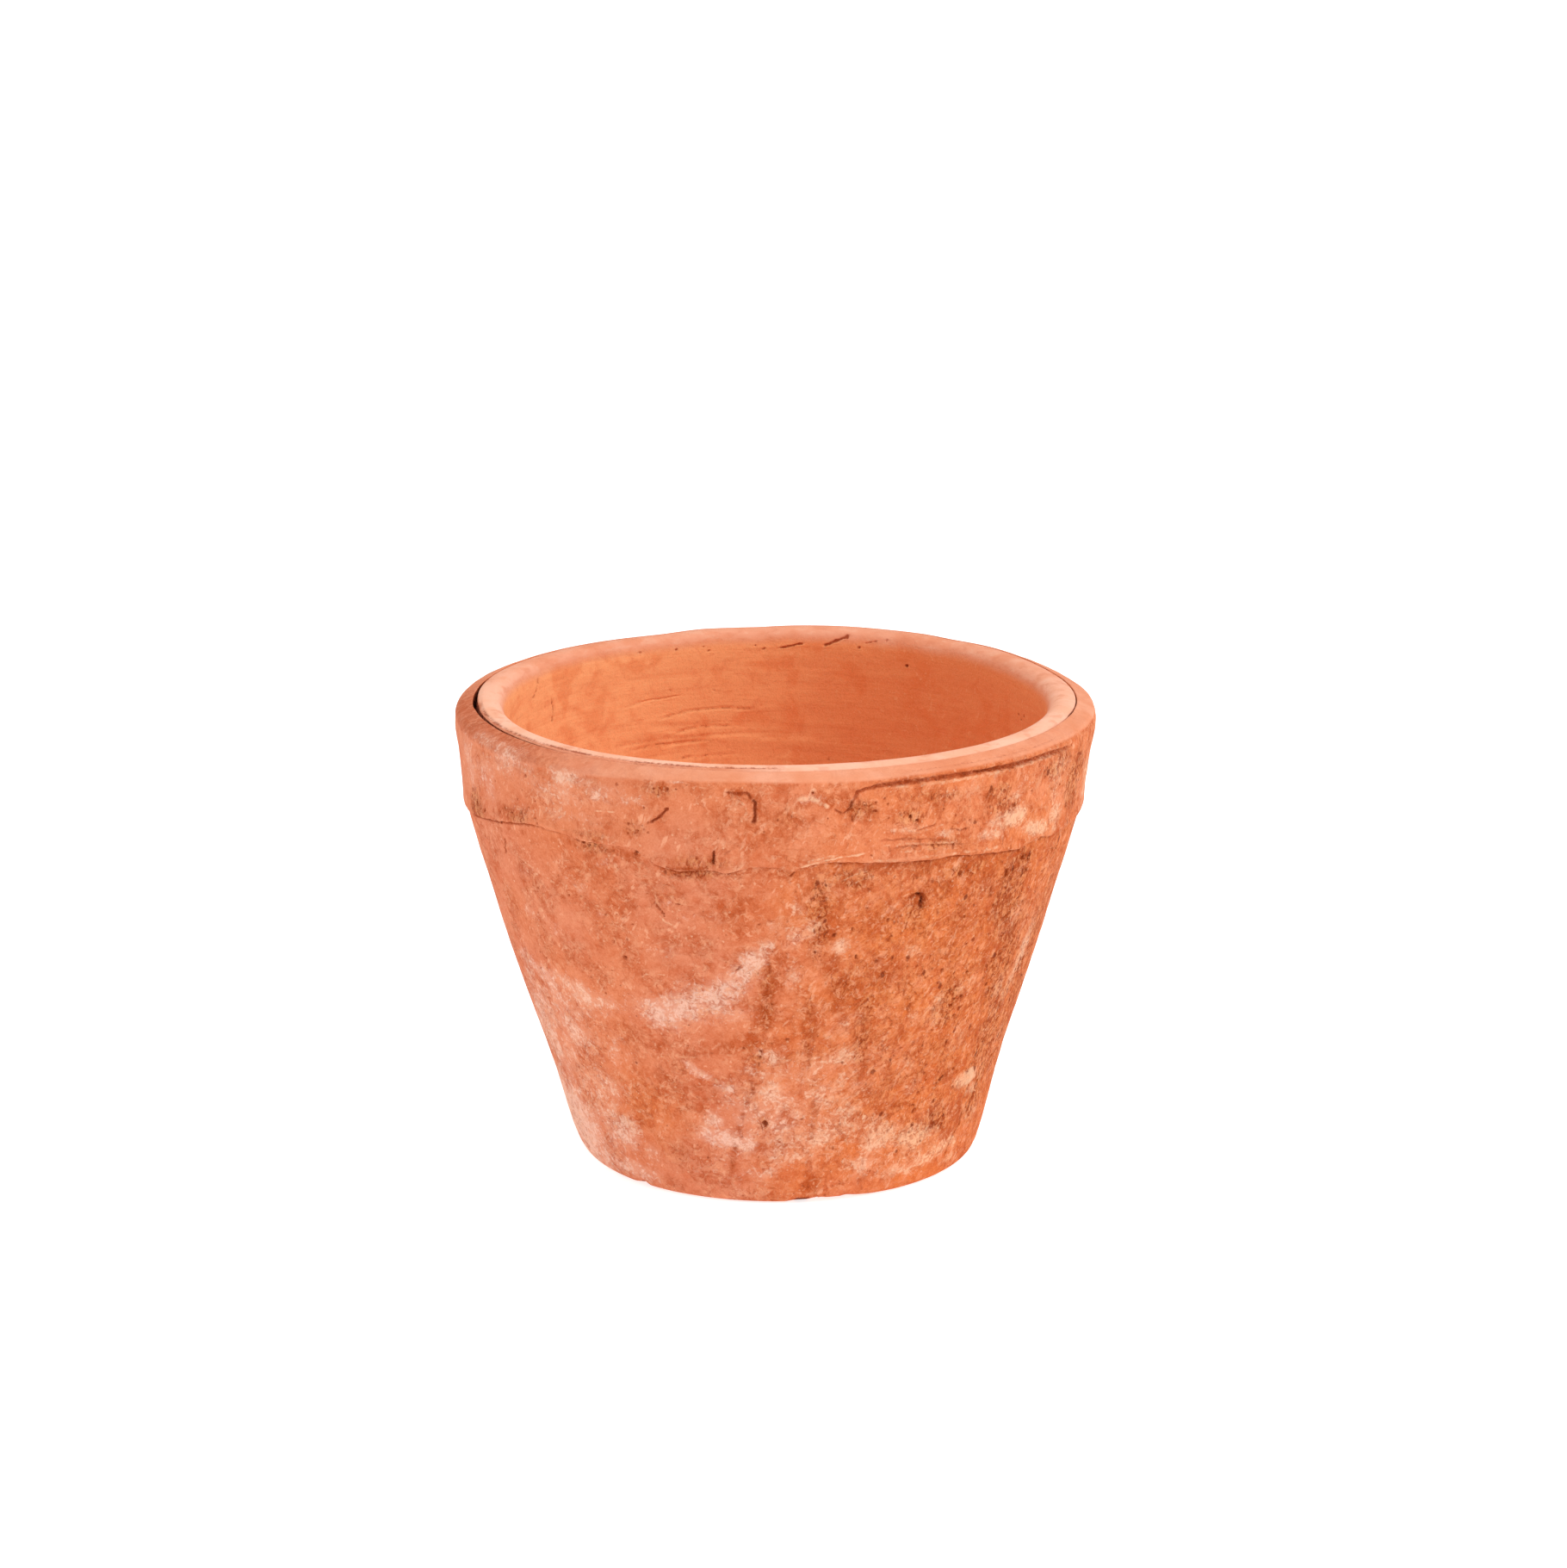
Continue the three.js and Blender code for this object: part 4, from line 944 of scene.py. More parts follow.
stain_and_shade = np.zeros(len(a))
STAINS = [
    (-0.3, 79.2, 2.9, 5.4, 1.0, 0), (-1.8, 67.8, 2.9, 5.4, 1.0, 0), (-4.9, 58.6, 3.7, 3.5, 0.8, 0), (-11.1, 55.2, 7.1, 2.7, 0.6, 10),
    (-17.5, 53.1, 4.5, 2.4, 0.6, 0), (-24.8, 53.9, 3.5, 2.2, 0.5, 0), (1.2, 86.6, 1.9, 2.2, 0.6, 0), (8.5, 64.5, 1.6, 6.5, 0.95, 0),
    (18.3, 71.7, 6.2, 11.8, 0.65, 0), (13.3, 73.0, 3.3, 7.0, 0.85, 0), (9.9, 99.9, 3.5, 6.7, 0.8, 0), (6.1, 111.2, 3.0, 7.0, 0.8, 0),
    (14.0, 113.5, 4.9, 4.8, 0.75, 0), (11.4, 84.5, 2.7, 3.8, 0.8, 0), (27.5, 102.8, 4.8, 4.3, 0.9, 0), (23.3, 79.7, 7.0, 5.4, 0.75, 0),
    (18.7, 116.2, 7.3, 2.2, 0.8, 0), (19.3, 96.6, 4.5, 7.0, 0.6, 0), (28.8, 114.7, 7.9, 2.2, 0.7, 0), (38.3, 112.6, 6.8, 2.7, 0.7, 0),
    (50.9, 108.5, 5.5, 3.8, 1.2, 0), (48.7, 95.5, 5.7, 8.6, 0.95, 0), (55.0, 83.0, 3.7, 5.4, 0.9, 0), (41.3, 106.2, 7.1, 5.4, 0.8, 0),
    (31.6, 106.9, 5.6, 3.2, 0.7, 0), (49.8, 77.7, 3.3, 7.0, 0.7, 0), (52.7, 61.9, 3.1, 5.4, 0.7, 0), (52.3, 50.2, 3.5, 4.3, 0.7, 0),
    (-26.9, 42.7, 4.2, 5.4, 0.45, 0), (-31.5, 29.5, 4.4, 4.0, 0.4, 0), (-27.0, 15.9, 3.6, 2.7, 0.45, 0), (-32.0, 59.8, 4.4, 4.8, 0.3, 0),
    (-32.4, 44.5, 4.4, 3.8, 0.3, 0), (23.3, 37.3, 4.4, 3.5, 0.85, 0), (20.4, 45.3, 2.6, 4.8, 0.7, 0), (29.6, 31.8, 4.3, 2.4, 0.8, 0),
    (27.3, 42.7, 3.0, 3.8, 0.5, 0), (46.6, 37.2, 3.1, 3.2, 0.9, 0), (43.9, 20.6, 4.8, 2.4, 1.0, 0), (44.8, 25.8, 3.4, 3.2, 0.9, 0),
    (54.9, 22.4, 2.3, 5.4, 0.95, 12), (52.3, 14.9, 3.5, 2.7, 0.9, 0), (-11.8, 117.9, 8.2, 1.9, 0.75, 0), (-16.5, 118.7, 3.3, 2.2, 0.8, 0),
    (-25.4, 119.3, 3.2, 1.9, 0.8, 0), (-31.5, 119.8, 8.1, 1.3, 0.55, 6), (-68.3, 101.7, 3.6, 3.8, 0.5, 0), (-40.1, 120.0, 6.3, 1.3, 0.5, 10),
    (-53.2, 118.1, 7.1, 1.3, 0.5, 12), (-5.9, 105.4, 4.3, 3.8, 0.4, 0), (-16.1, 92.7, 8.3, 4.3, 0.35, 0), (-28.3, 78.6, 6.1, 5.4, 0.3, 0),
    (-30.2, 95.7, 9.3, 8.1, 0.22, 0), (-2.8, 117.1, 6.9, 2.2, 0.5, 0), (2.5, 117.1, 2.7, 3.8, 0.6, 0), (36.8, 28.1, 2.7, 1.3, 0.6, 0),
    (-4.1, 33.4, 1.6, 2.2, 0.7, 0), (1.1, 21.2, 1.9, 3.8, 0.7, 0), (8.8, 7.0, 2.2, 3.2, 0.8, 0), (24.2, 5.9, 1.5, 3.8, 0.6, 0),
    (-17.3, 7.0, 1.7, 3.2, 0.5, 0), (29.3, 60.5, 2.8, 5.4, 0.5, 0), (40.7, 49.7, 3.5, 6.5, 0.45, 0), (23.3, 100.2, 3.5, 3.2, 0.5, 0),
    (39.2, 96.0, 4.8, 5.4, 0.6, 0), (36.6, 85.1, 4.0, 5.4, 0.5, 0), (40.3, 45.3, 3.5, 4.3, 0.5, 0), (11.6, 56.0, 1.6, 2.7, 0.5, 0),
    (6.9, 53.3, 1.6, 3.8, 0.6, 0),
    (110, 104, 20, 8, 0.5, 0), (135, 60, 16, 30, 0.4, 0), (175, 90, 18, 16, 0.5, 0), (-140, 50, 14, 24, 0.4, 0), (-105, 105, 16, 8, 0.4, 0), (-165, 110, 20, 6, 0.45, 0),
]
for p in STAINS:
    blob(surf_wall, stain_and_shade, p[0], p[1], p[2], p[3], p[4], p[5], 1.0)
for pts, w, ink in WALL_LINES:
    streak(surf_wall, stain_and_shade, pts, 1.35, ink * 1.5)
    streak(surf_wall, dirt_and_shade, pts, 0.55, ink * 0.95)
# Painted shadow right under the band's ledge: a darker stain colour, and a dark line where the ledge stands out most.
ledge = np.exp(-np.clip(edge_low(a) - z1, 0, 50) / 1.3) * np.where(on_wall, 1, 0) * (0.35 + 0.65 * ramp(proud(a), 0.5, 1.3))
stain_and_shade = np.maximum(stain_and_shade, 1.1 * ledge)
ledge_at = ramp(a, 5, 12) * (1 - ramp(a, 48, 58)) + ramp(a, -24, -20) * (1 - ramp(a, -9, -5))
dirt_and_shade = np.maximum(dirt_and_shade, np.where(on_wall, 0.8 * ledge_at * np.exp(-np.clip(edge_low(a) - z1, 0, 50) / 1.0), 0) * (0.75 + 0.25 * np.clip(noise(base, 4, 315) * 2, -1, 1)))
# Soil stain inside, low down.
inner_low = np.where(on_inner, 1 - ramp(z1, 20, 92), 0)
stain_and_shade = np.maximum(stain_and_shade, 0.5 * inner_low)
stain_and_shade = np.where(within(E["corner"] - 8, E["drain"]), 0.6, stain_and_shade)

orange = np.where(on_wall, 0.08 + 0.92 * ramp(wrap(a - 0), -30, 44) * (1 - 0.55 * ramp(np.abs(wrap(a)), 86, 130)), 0.0)
orange = np.where(on_wall, np.maximum(orange, 0.55 * np.exp(-(((a + 28) / 12) ** 2)) * np.exp(-(((z1 - 28) / 12) ** 2))), orange)
lipness = np.where(on_lip | within(E["neck"] - 3, E["neck"]), 1.0, 0.0)
lipness = lipness * (1 - 0.75 * lip_outer)
lip_wave = 0.9 * fbm(base, 16, 2, 61)
lipness = np.where(within(E["lip"] - 8.0, E["lip"] + 7) & (lip_outer < 0.01), 1 - ramp(s, E["lip"] - 6.6 + lip_wave, E["lip"] - 1.6 + lip_wave), lipness)
innerness = np.where(on_inner | on_lip, ramp(s, E["lip"] - 6.6, E["lip"] - 1.6), 0.0)
innerness = np.where(within(E["corner"], E["drain"]), 1.0, innerness)
pitted = np.where(on_wall, 0.1 + 0.36 * ramp(a, -4, 30) * (1 - ramp(a, 84, 110)) * ramp(z1, 4, 24), 0.1)
for p in [
    (8.5, 101, 3.4, 15, 0.8), (7.4, 62, 2.2, 14, 0.65), (9.4, 34, 1.8, 14, 0.5), (19.5, 60, 2.6, 22, 0.7), (-1.2, 74, 2.6, 12, 0.65), (-4, 54, 3, 5, 0.7),
    (52, 100, 8, 16, 1.0), (56, 75, 7, 16, 1.0), (60, 50, 7, 14, 1.0), (62, 30, 7, 12, 0.9), (40, 66, 6, 12, 0.8), (27, 99, 4, 7, 0.65),
    (15, 113, 8, 4, 0.75), (38, 111, 12, 4, 0.65), (46, 22, 6, 4, 0.9), (70, 60, 8, 40, 0.8), (-33, 120, 7, 3, 0.6), (-14, 116, 8, 3, 0.7),
    (-20, 106, 6, 5, 0.35), (-52, 100, 10, 10, 0.3), (-24, 44, 7, 9, 0.4), (-28, 16, 6, 5, 0.4), (-3, 29, 2, 3, 0.6), (15, 80, 6, 9, 0.6),
    (120, 90, 22, 22, 0.7), (150, 40, 22, 22, 0.6), (-160, 80, 20, 30, 0.6), (-120, 50, 18, 30, 0.5),
]:
    blob(surf_wall, pitted, *p)
pitted = np.where(on_wall & (np.abs(wrap(a)) > 95), np.maximum(pitted, 0.3), pitted)
stria = np.where(on_wall, ramp(a, 4, 16) * (1 - ramp(a, 56, 66)) * ramp(z1, 22, 36) * (1 - ramp(z1, 100, 108)), 0.0)
stria = np.where(on_wall & (np.abs(wrap(a)) > 100), 0.35, stria)
# The neck behind the band is painted dark, as shade, where the seam is open.
dirt_and_shade = np.maximum(dirt_and_shade, np.where(within(E["neck"] - 30, E["neck"] + 0.25), (0.9 - 0.35 * ramp(a, 0, 20)) * ramp(crack(a), 0.12, 0.4), 0))

v_knots_s = np.array([0, E["under"], S["wall"], E["wall"], E["neck"] - 5, S["lip"], E["lip"], z_in(98), E["corner"], E["floor"], body.length])
v_weight = np.array([0.35, 1.0, 1.35, 0.25, 0.6, 1.3, 1.15, 0.7, 0.55, 0.4])
v_knots = np.concatenate([[0], np.cumsum(np.diff(v_knots_s) * v_weight)])
v_knots /= v_knots[-1]
pot = grid.mesh(
    "pot_body_visual",
    co,
    {"burrs_and_highlight": burrs_and_highlight, "bloom_and_highlight": bloom_and_highlight, "dirt_and_shade": dirt_and_shade, "stain_and_shade": stain_and_shade, "orange": orange, "smoothed_and_lit": lipness, "inside": innerness, "pitted": pitted, "stria": stria},
    lambda q: np.interp(q, v_knots_s, v_knots),
)
body_faces = len(grid.quads) * 2 + len(grid.tris)

# ---------------------------------------------------------------- the rim band
band = Profile(
    [
        ("tip", [(97.12, 117.15), (97.35, 116.92), (97.68, 117.05), (97.9, 117.5)], True),
        ("face", [(98.0, 118.1), (98.05, 120.0), (98.22, 124.0), (98.62, 129.0), (99.15, 133.0), (99.68, 136.4), (99.95, 138.4), (100.0, 139.8)], True),
        ("top", [(99.98, 141.2), (99.86, 142.5), (99.5, 143.5), (98.85, 144.3), (97.6, 144.98), (96.1, 145.62), (94.9, 146.15)], True),
        ("seam", [(94.45, 146.33), (94.0, 146.36), (93.78, 146.2)], True),
        ("back", [(93.72, 145.9), (93.8, 145.0), (94.25, 140.0), (94.95, 132.5), (95.85, 126.0), (96.65, 120.5), (96.95, 118.2)], True),
    ]
)
bs, be = band.start, band.end
rows = spread(
    (0.0, be["tip"], 1.2),
    (be["tip"], be["face"], 2.05),
    (be["face"], be["top"] - 0.5, 1.5),
    (be["top"] - 0.5, be["seam"] + 0.5, 1.0),
    (be["seam"] + 0.5, be["seam"] + 6.5, 1.8),
    (be["seam"] + 6.5, be["back"], 5.2),
    (be["back"], band.length, 1.2),
)
bg = Grid(232, rows)
bg.ask(-180, 179.9, 0, be["seam"] + 1.0, 1)
bg.ask(-180, 179.9, 0, be["tip"], 2)
bg.ask(-180, 179.9, be["top"] - 0.4, be["seam"] + 0.4, 2)
bg.ask(-92, 92, 0, be["top"], 2)
bg.ask(-112, -8, be["top"] - 0.4, be["seam"] + 0.4, 3)
bg.ask(50, 98, be["top"] - 0.4, be["seam"] + 0.4, 3)
rng = np.random.default_rng(23)
for k in range(90):
    if k < 36:
        p0, q0 = rng.uniform(12, 86), rng.uniform(119, 140)
        sz, ink = rng.uniform(0.35, 0.65), rng.uniform(0.25, 0.6)
    elif k < 42:
        p0, q0 = rng.uniform(-86, 12), rng.uniform(122, 141)
        sz, ink = rng.uniform(0.3, 0.45), rng.uniform(0.15, 0.4)
    else:
        p0, q0 = rng.uniform(90, 270), rng.uniform(120, 141)
        sz, ink = rng.uniform(0.7, 1.1), rng.uniform(0.3, 0.8)
    BAND_PITS.append((float(wrap(p0)), q0, sz, sz * 0.7, ink, rng.uniform(0.8, 1.8)))
zf = lambda z: band.s_of("face", z) if z < 139.8 else band.s_of("top", z)
for pts, w, dp, ink in BAND_CUTS:
    for (p0, q0), (p1, q1) in zip(pts[:-1], pts[1:]):
        g = (w + 0.5) / 99 * 57.3
        bg.ask(min(p0, p1) - g, max(p0, p1) + g, zf(min(q0, q1)) - w - 0.5, zf(max(q0, q1)) + w + 0.5, 3)
for (p0, q0), (p1, q1) in zip(FOLD[:-1], FOLD[1:]):
    bg.ask(min(p0, p1) - 0.6, max(p0, p1) + 0.6, zf(min(q0, q1)) - 1.6, zf(max(q0, q1)) + 1.4, 3)
for p0, q0, sz, dp, ink, tall in BAND_PITS:
    g = (sz + 0.4) / 99 * 57.3
    bg.ask(p0 - g, p0 + g, zf(q0) - sz * tall - 0.3, zf(q0) + sz * tall + 0.3, 3 if sz < 0.7 and abs(p0) < 88 else 2)
bg.ask(2.0, 11.0, zf(134.5), zf(142.5), 3)
bg.ask(-24.0, 46.0, 0, be["tip"] + 1.2, 3)
for pts, w, hgt, amt in BAND_RIDGES:
    for (p0, q0), (p1, q1) in zip(pts[:-1], pts[1:]):
        bg.ask(min(p0, p1) - 0.7, max(p0, p1) + 0.7, zf(min(q0, q1)) - 1.2, zf(max(q0, q1)) + 1.2, 3)
bg.build()

a, s = bg.a, bg.s
rad = np.radians(a)
r0, z0 = band.at(s)
nr, nz = band.normal(s)
on_face = within(0, be["top"] + 0.1)
on_back = within(be["seam"] - 0.1, band.length)
ze = edge_low(a)
ragged = 0.28 * noise(np.stack([rad * 98, np.zeros_like(rad), np.zeros_like(rad)], 1), 2.3, 71) + 0.35 * noise(np.stack([rad * 98, np.zeros_like(rad), np.zeros_like(rad)], 1), 5.5, 73)
share = 1 - ramp(z0, NOMINAL_EDGE + 0.5, 134)
z1 = z0 + (ze - NOMINAL_EDGE) * (1 - ramp(z0, NOMINAL_EDGE, 132.5)) + ragged * np.exp(-np.abs(z0 - NOMINAL_EDGE) / 1.6)
inner_r = body_out(z1, a) + 0.16 + 0.5 * crack(a) * ramp(z0, 139.5, 145.0)
lift = (cone(ze) - 96.95) + (proud(a) - 0.75)
outer_r = r0 + lift * (1 - ramp(z0, 117, 139)) ** 1.3
r1 = np.where(on_back, inner_r, outer_r)
tip = within(0, be["tip"]) | within(be["back"], band.length)
r1 = np.where(tip, np.maximum(r1, inner_r), r1)
tip_in = within(0, 0.3)
r1 = np.where(within(be["top"], be["seam"]), r0 + 0.5 * crack(a) * ramp(s, be["top"], be["seam"]), r1)
sag = np.exp(-(((s - be["seam"] + 0.3) / 1.1) ** 2)) * np.clip(crack(a) - 0.1, 0, 1) * 0.3
z1 = z1 - sag
base = np.stack([r1 * np.sin(rad), -r1 * np.cos(rad), z1], 1)
d = np.zeros(len(a))
dirt_and_shade = np.zeros(len(a))
fade_tip = ramp(s, be["tip"] * 0.6, be["tip"] + 1.2)
fade_top = 1 - ramp(s, be["top"] - 3.5, be["top"] + 0.5)
lump = 0.3 * fbm(base, 26, 2, 83) + 0.2 * fbm(base, 8.5, 2, 85, (1, 1, 1.3)) + 0.07 * fbm(base, 3.0, 2, 89)
d += np.where(on_face, lump * fade_tip * fade_top, 0)
d += np.where(within(be["face"] - 2, be["seam"]), 0.12 * fbm(base, 13, 2, 91) * (1 - ramp(s, be["seam"] - 1.5, be["seam"])) * ramp(s, be["face"] - 2, be["face"] + 2), 0)
girth = lambda v: 98.5
# Over the shoulder the height hardly changes, so marks there are placed by the length along the profile.
v_face = np.where(s > be["face"], 139.8 + (s - be["face"]), z1)
surf_face = Surface(a, v_face, girth, on_face, 1.0, base)


def shoulder(z):
    return z if z < 139.8 else 139.8 + band.s_of("top", z) - be["face"]


for k, (pts, w, dp, ink) in enumerate(BAND_CUTS):
    groove(surf_face, d, dirt_and_shade, [(p, shoulder(q)) for p, q in pts], w, dp, ink, key=k)
fold = [(p, shoulder(q)) for p, q in FOLD]
groove(surf_face, d, dirt_and_shade, fold, 0.85, 1.0, 0.62, rim=0.1, ends=0.2, key=3)
burrs_and_highlight = np.zeros(len(a))
for pts, w, hgt, amt in BAND_RIDGES:
    ridge(surf_face, d, burrs_and_highlight, [(p, shoulder(q)) for p, q in pts], w, hgt, amt)
groove(surf_face, d, dirt_and_shade, [(p, shoulder(q)) for p, q in [(22, 145.2), (34, 145.1), (46, 144.95), (57, 144.9), (64, 145.1)]], 0.4, 0.16, 0.3, key=9)
groove(surf_face, d, dirt_and_shade, [(p, q + 1.5) for p, q in fold[3:]], 1.0, -0.28, 0.0, rim=0.0, ends=0.2, key=6)
for k, (p0, q0, sz, dp, ink, tall) in enumerate(BAND_PITS):
    pit(surf_face, d, dirt_and_shade, p0, shoulder(q0), sz, dp, ink, tall, tilt=(k * 41) % 50 - 25)
# A thin pressed step all along the top of the face, where the smoothed shoulder ends.
step_z = around([(-180, 143.2), (-120, 142.4), (-85, 141.6), (-63.3, 141.0), (-51.1, 141.5), (-38, 142.4), (-24.3, 143.5), (-15.1, 144.15), (-7.5, 144.35), (0, 144.35), (7.5, 144.2), (12.7, 144.0), (30, 144.2), (60, 143.8), (90, 143.2), (130, 143.4)])
sz_ = step_z(a)
step_v = np.where(sz_ < 139.8, sz_, 139.8 + np.interp(sz_, *np.array([[q, band.s_of("top", q) - be["face"]] for q in np.linspace(139.8, 146.0, 32)]).T))
across = v_face - step_v
strength = 0.35 + 0.65 * ramp(-np.abs(wrap(a + 4)), -75, -20)
d += np.where(on_face, (-0.32 * np.exp(-((across + 0.9) / 1.1) ** 2) + 0.1 * np.exp(-((across - 0.9) / 1.0) ** 2)) * strength * fade_tip, 0)

r2 = r1 + d * nr
z2 = z1 + d * nz
x3, y3, z3 = shape(r2 * np.sin(rad), -r2 * np.cos(rad), z2)
co = np.stack([x3, y3, z3], 1)

bloom_and_highlight = np.zeros(len(a))
for p in [
    (47.4, 125.0, 5.5, 2.7, 1.1, 0), (55.3, 118.6, 7.5, 2.2, 1.0, -10), (61.4, 120.3, 4.5, 3.8, 0.8, 0), (43.4, 125.3, 3.7, 2.2, 0.8, 0),
    (41.6, 121.5, 5.0, 1.6, 0.7, 0), (24.7, 127.7, 5.9, 1.1, 0.6, 0), (31.7, 125.0, 3.8, 1.1, 0.6, 0), (-38.1, 140.6, 6.8, 2.7, 0.75, 0),
    (-42.3, 134.4, 10.8, 4.3, 0.45, 0), (-53.6, 139.9, 9.0, 4.3, 0.6, 0), (-62.2, 132.4, 5.7, 6.5, 0.5, 0), (-30.8, 137.8, 7.5, 2.7, 0.4, 0),
    (-24.9, 136.4, 5.3, 2.2, 0.45, 0), (-49.7, 126.3, 8.2, 2.2, 0.35, 0), (-39.6, 128.4, 10.4, 2.2, 0.4, 0), (-59.9, 143.8, 10.6, 2.7, 0.5, 0),
    (-70.6, 134.3, 4.8, 8.1, 0.6, 0), (60.6, 133.0, 5.4, 6.5, 0.5, 0), (49.1, 134.8, 5.7, 3.8, 0.35, 0), (34.5, 136.8, 7.8, 2.7, 0.3, 0),
    (47.2, 131.4, 3.9, 2.2, 0.5, 0),
    # The first of these two is a painted highlight along the flake's raised edge.
    (6.2, 139.4, 3.0, 1.2, 0.7, 0), (-17.3, 143.7, 2.6, 0.5, 0.8, 0),
    (80, 128, 8, 12, 0.45, 0), (110, 126, 16, 9, 0.5, 0), (150, 130, 18, 8, 0.6, 0), (-170, 124, 16, 7, 0.5, 0), (-130, 130, 18, 9, 0.55, 0), (-100, 124, 12, 8, 0.5, 0),
]:
    blob(surf_face, bloom_and_highlight, p[0], shoulder(p[1]), p[2], p[3], p[4], p[5])
stain_and_shade = np.zeros(len(a))
for p in [
    (-20.1, 137.3, 3.4, 3.2, 0.6, 0), (-3.3, 137.7, 1.9, 4.3, 0.5, 0), (-5.8, 140.9, 2.7, 1.6, 0.6, 0), (-14.8, 141.9, 5.5, 1.3, 0.45, 0),
    (-21.0, 141.8, 4.6, 1.6, 0.6, 0), (5.6, 138.9, 4.3, 3.2, 0.5, 0), (11.0, 137.2, 6.0, 3.2, 0.6, 0), (14.9, 133.2, 5.5, 2.7, 0.5, 0),
    (28.6, 132.3, 3.6, 2.7, 0.5, 0), (-8.7, 129.2, 6.5, 2.2, 0.35, 0), (-16.4, 127.0, 5.6, 2.2, 0.5, 0), (-26.0, 126.6, 4.2, 2.2, 0.5, 0),
    (-33.0, 127.6, 6.4, 1.6, 0.45, 0), (-50.3, 120.0, 8.3, 1.9, 0.5, 0), (-67.2, 116.4, 6.2, 4.3, 0.8, 0), (-61.2, 116.2, 5.0, 2.7, 0.8, 0),
    (-56.9, 123.5, 4.9, 2.7, 0.45, 0), (40.5, 133.6, 4.9, 2.7, 0.4, 0), (52.7, 126.6, 3.5, 2.2, 0.5, 0), (69.7, 120.8, 3.8, 5.4, 0.5, 0),
    (55.8, 133.6, 4.7, 1.6, 0.4, 0), (22.6, 136.9, 5.8, 2.2, 0.35, 0), (-2.8, 129.5, 4.3, 3.2, 0.3, 0), (1.6, 133.6, 6.4, 3.8, 0.3, 0), (-2, 130, 20, 7, 0.3, 0),
    (-35, 123, 7, 1.8, 0.4, 0), (-14, 118.5, 8, 2.2, 0.5, 0), (14, 141.3, 6, 1.8, 0.35, 0),
    (120, 134, 12, 6, 0.4, 0), (165, 122, 14, 6, 0.5, 0), (-150, 136, 12, 5, 0.4, 0), (-112, 120, 10, 5, 0.5, 0), (95, 120, 10, 6, 0.4, 0),
]:
    blob(surf_face, stain_and_shade, p[0], shoulder(p[1]), p[2], p[3], p[4], p[5])
# Painted shade along the fold.
streak(surf_face, stain_and_shade, [(p, q - 0.2) for p, q in fold], 0.9, 0.55)
# Painted shadow along the band's wavy lower edge at the left of the front.
streak(surf_face, stain_and_shade, [(-19.0, 117.6), (-18.3, 117.0), (-16.9, 116.9), (-14.5, 117.4), (-11.5, 117.6)], 1.0, 0.7)
streak(surf_face, dirt_and_shade, [(-19.2, 117.2), (-18.3, 116.6), (-16.9, 116.4), (-15.0, 117.0), (-12.5, 117.0)], 0.55, 0.55)
# The shoulder is painted darker over the left of the front.
stain_and_shade = np.maximum(stain_and_shade, 0.75 * ramp(across, -0.4, 1.0) * ramp(a, -110, -86) * (1 - ramp(a, -58, -12)))
stain_and_shade = np.where(on_face | within(be["top"] - 0.1, be["seam"]), stain_and_shade, 0)
face_shade = 1 - ramp(across, -0.6, 0.5)
# The band's top takes the lip's pale colour, with its painted highlight, by top_light round the girth.
top_light = around([(-180, 0.7), (-110, 0.5), (-85, 0.12), (-60, 0.1), (-45, 0.2), (-30, 0.5), (-12, 0.75), (5, 0.8), (14, 0.72), (40, 0.66), (62, 0.62), (80, 0.75), (110, 0.8)])
smoothed_and_lit = np.where(on_face | within(be["top"], be["seam"] + 0.2), (1 - face_shade) * top_light(a), 0)
smoothed_and_lit = np.where(on_back, 0, smoothed_and_lit)
orange = 0.1 + 0.8 * ramp(a, -26, 46) * (1 - 0.5 * ramp(np.abs(wrap(a)), 90, 130))
pitted = np.where(on_face, (0.12 + 0.25 * ramp(a, 12, 45) * (1 - ramp(a, 90, 120))) * face_shade, 0)
for p in [
    (15, 135.5, 4, 3, 0.85), (24, 131, 5, 3, 0.7), (29, 137, 8, 2.2, 0.65), (42, 135, 6, 3, 0.75), (45, 129, 8, 4, 0.6), (60, 137, 8, 4, 0.8), (69, 129, 8, 10, 0.9),
    (-69, 120, 6, 5, 0.9), (-52, 124, 7, 3, 0.65), (-20, 140.5, 5, 2, 0.7), (-32, 123.5, 9, 2, 0.5), (-12, 119, 9, 2.5, 0.6), (30, 122, 12, 2.5, 0.55), (-25, 128, 4, 3, 0.5),
    (3, 134, 6, 4, 0.4), (120, 128, 16, 8, 0.6), (170, 130, 16, 8, 0.5), (-130, 125, 16, 8, 0.6),
]:
    blob(surf_face, pitted, *p)
pitted = pitted * face_shade
# Painted shade on the band's back where the seam is open.
dirt_and_shade = np.maximum(dirt_and_shade, np.where(on_back, (0.9 - 0.35 * ramp(a, 0, 20)) * ramp(crack(a), 0.12, 0.4), 0))
edge_dirt = np.exp(-np.clip(z1 - ze, 0, 50) / 0.55) * np.where(on_face, 1, 0)
dirt_and_shade = np.maximum(dirt_and_shade, 0.3 * edge_dirt * (0.5 + 0.5 * np.clip(noise(base, 3.0, 97) * 2, -1, 1)) * ramp(-proud(a), -1.1, -0.5))

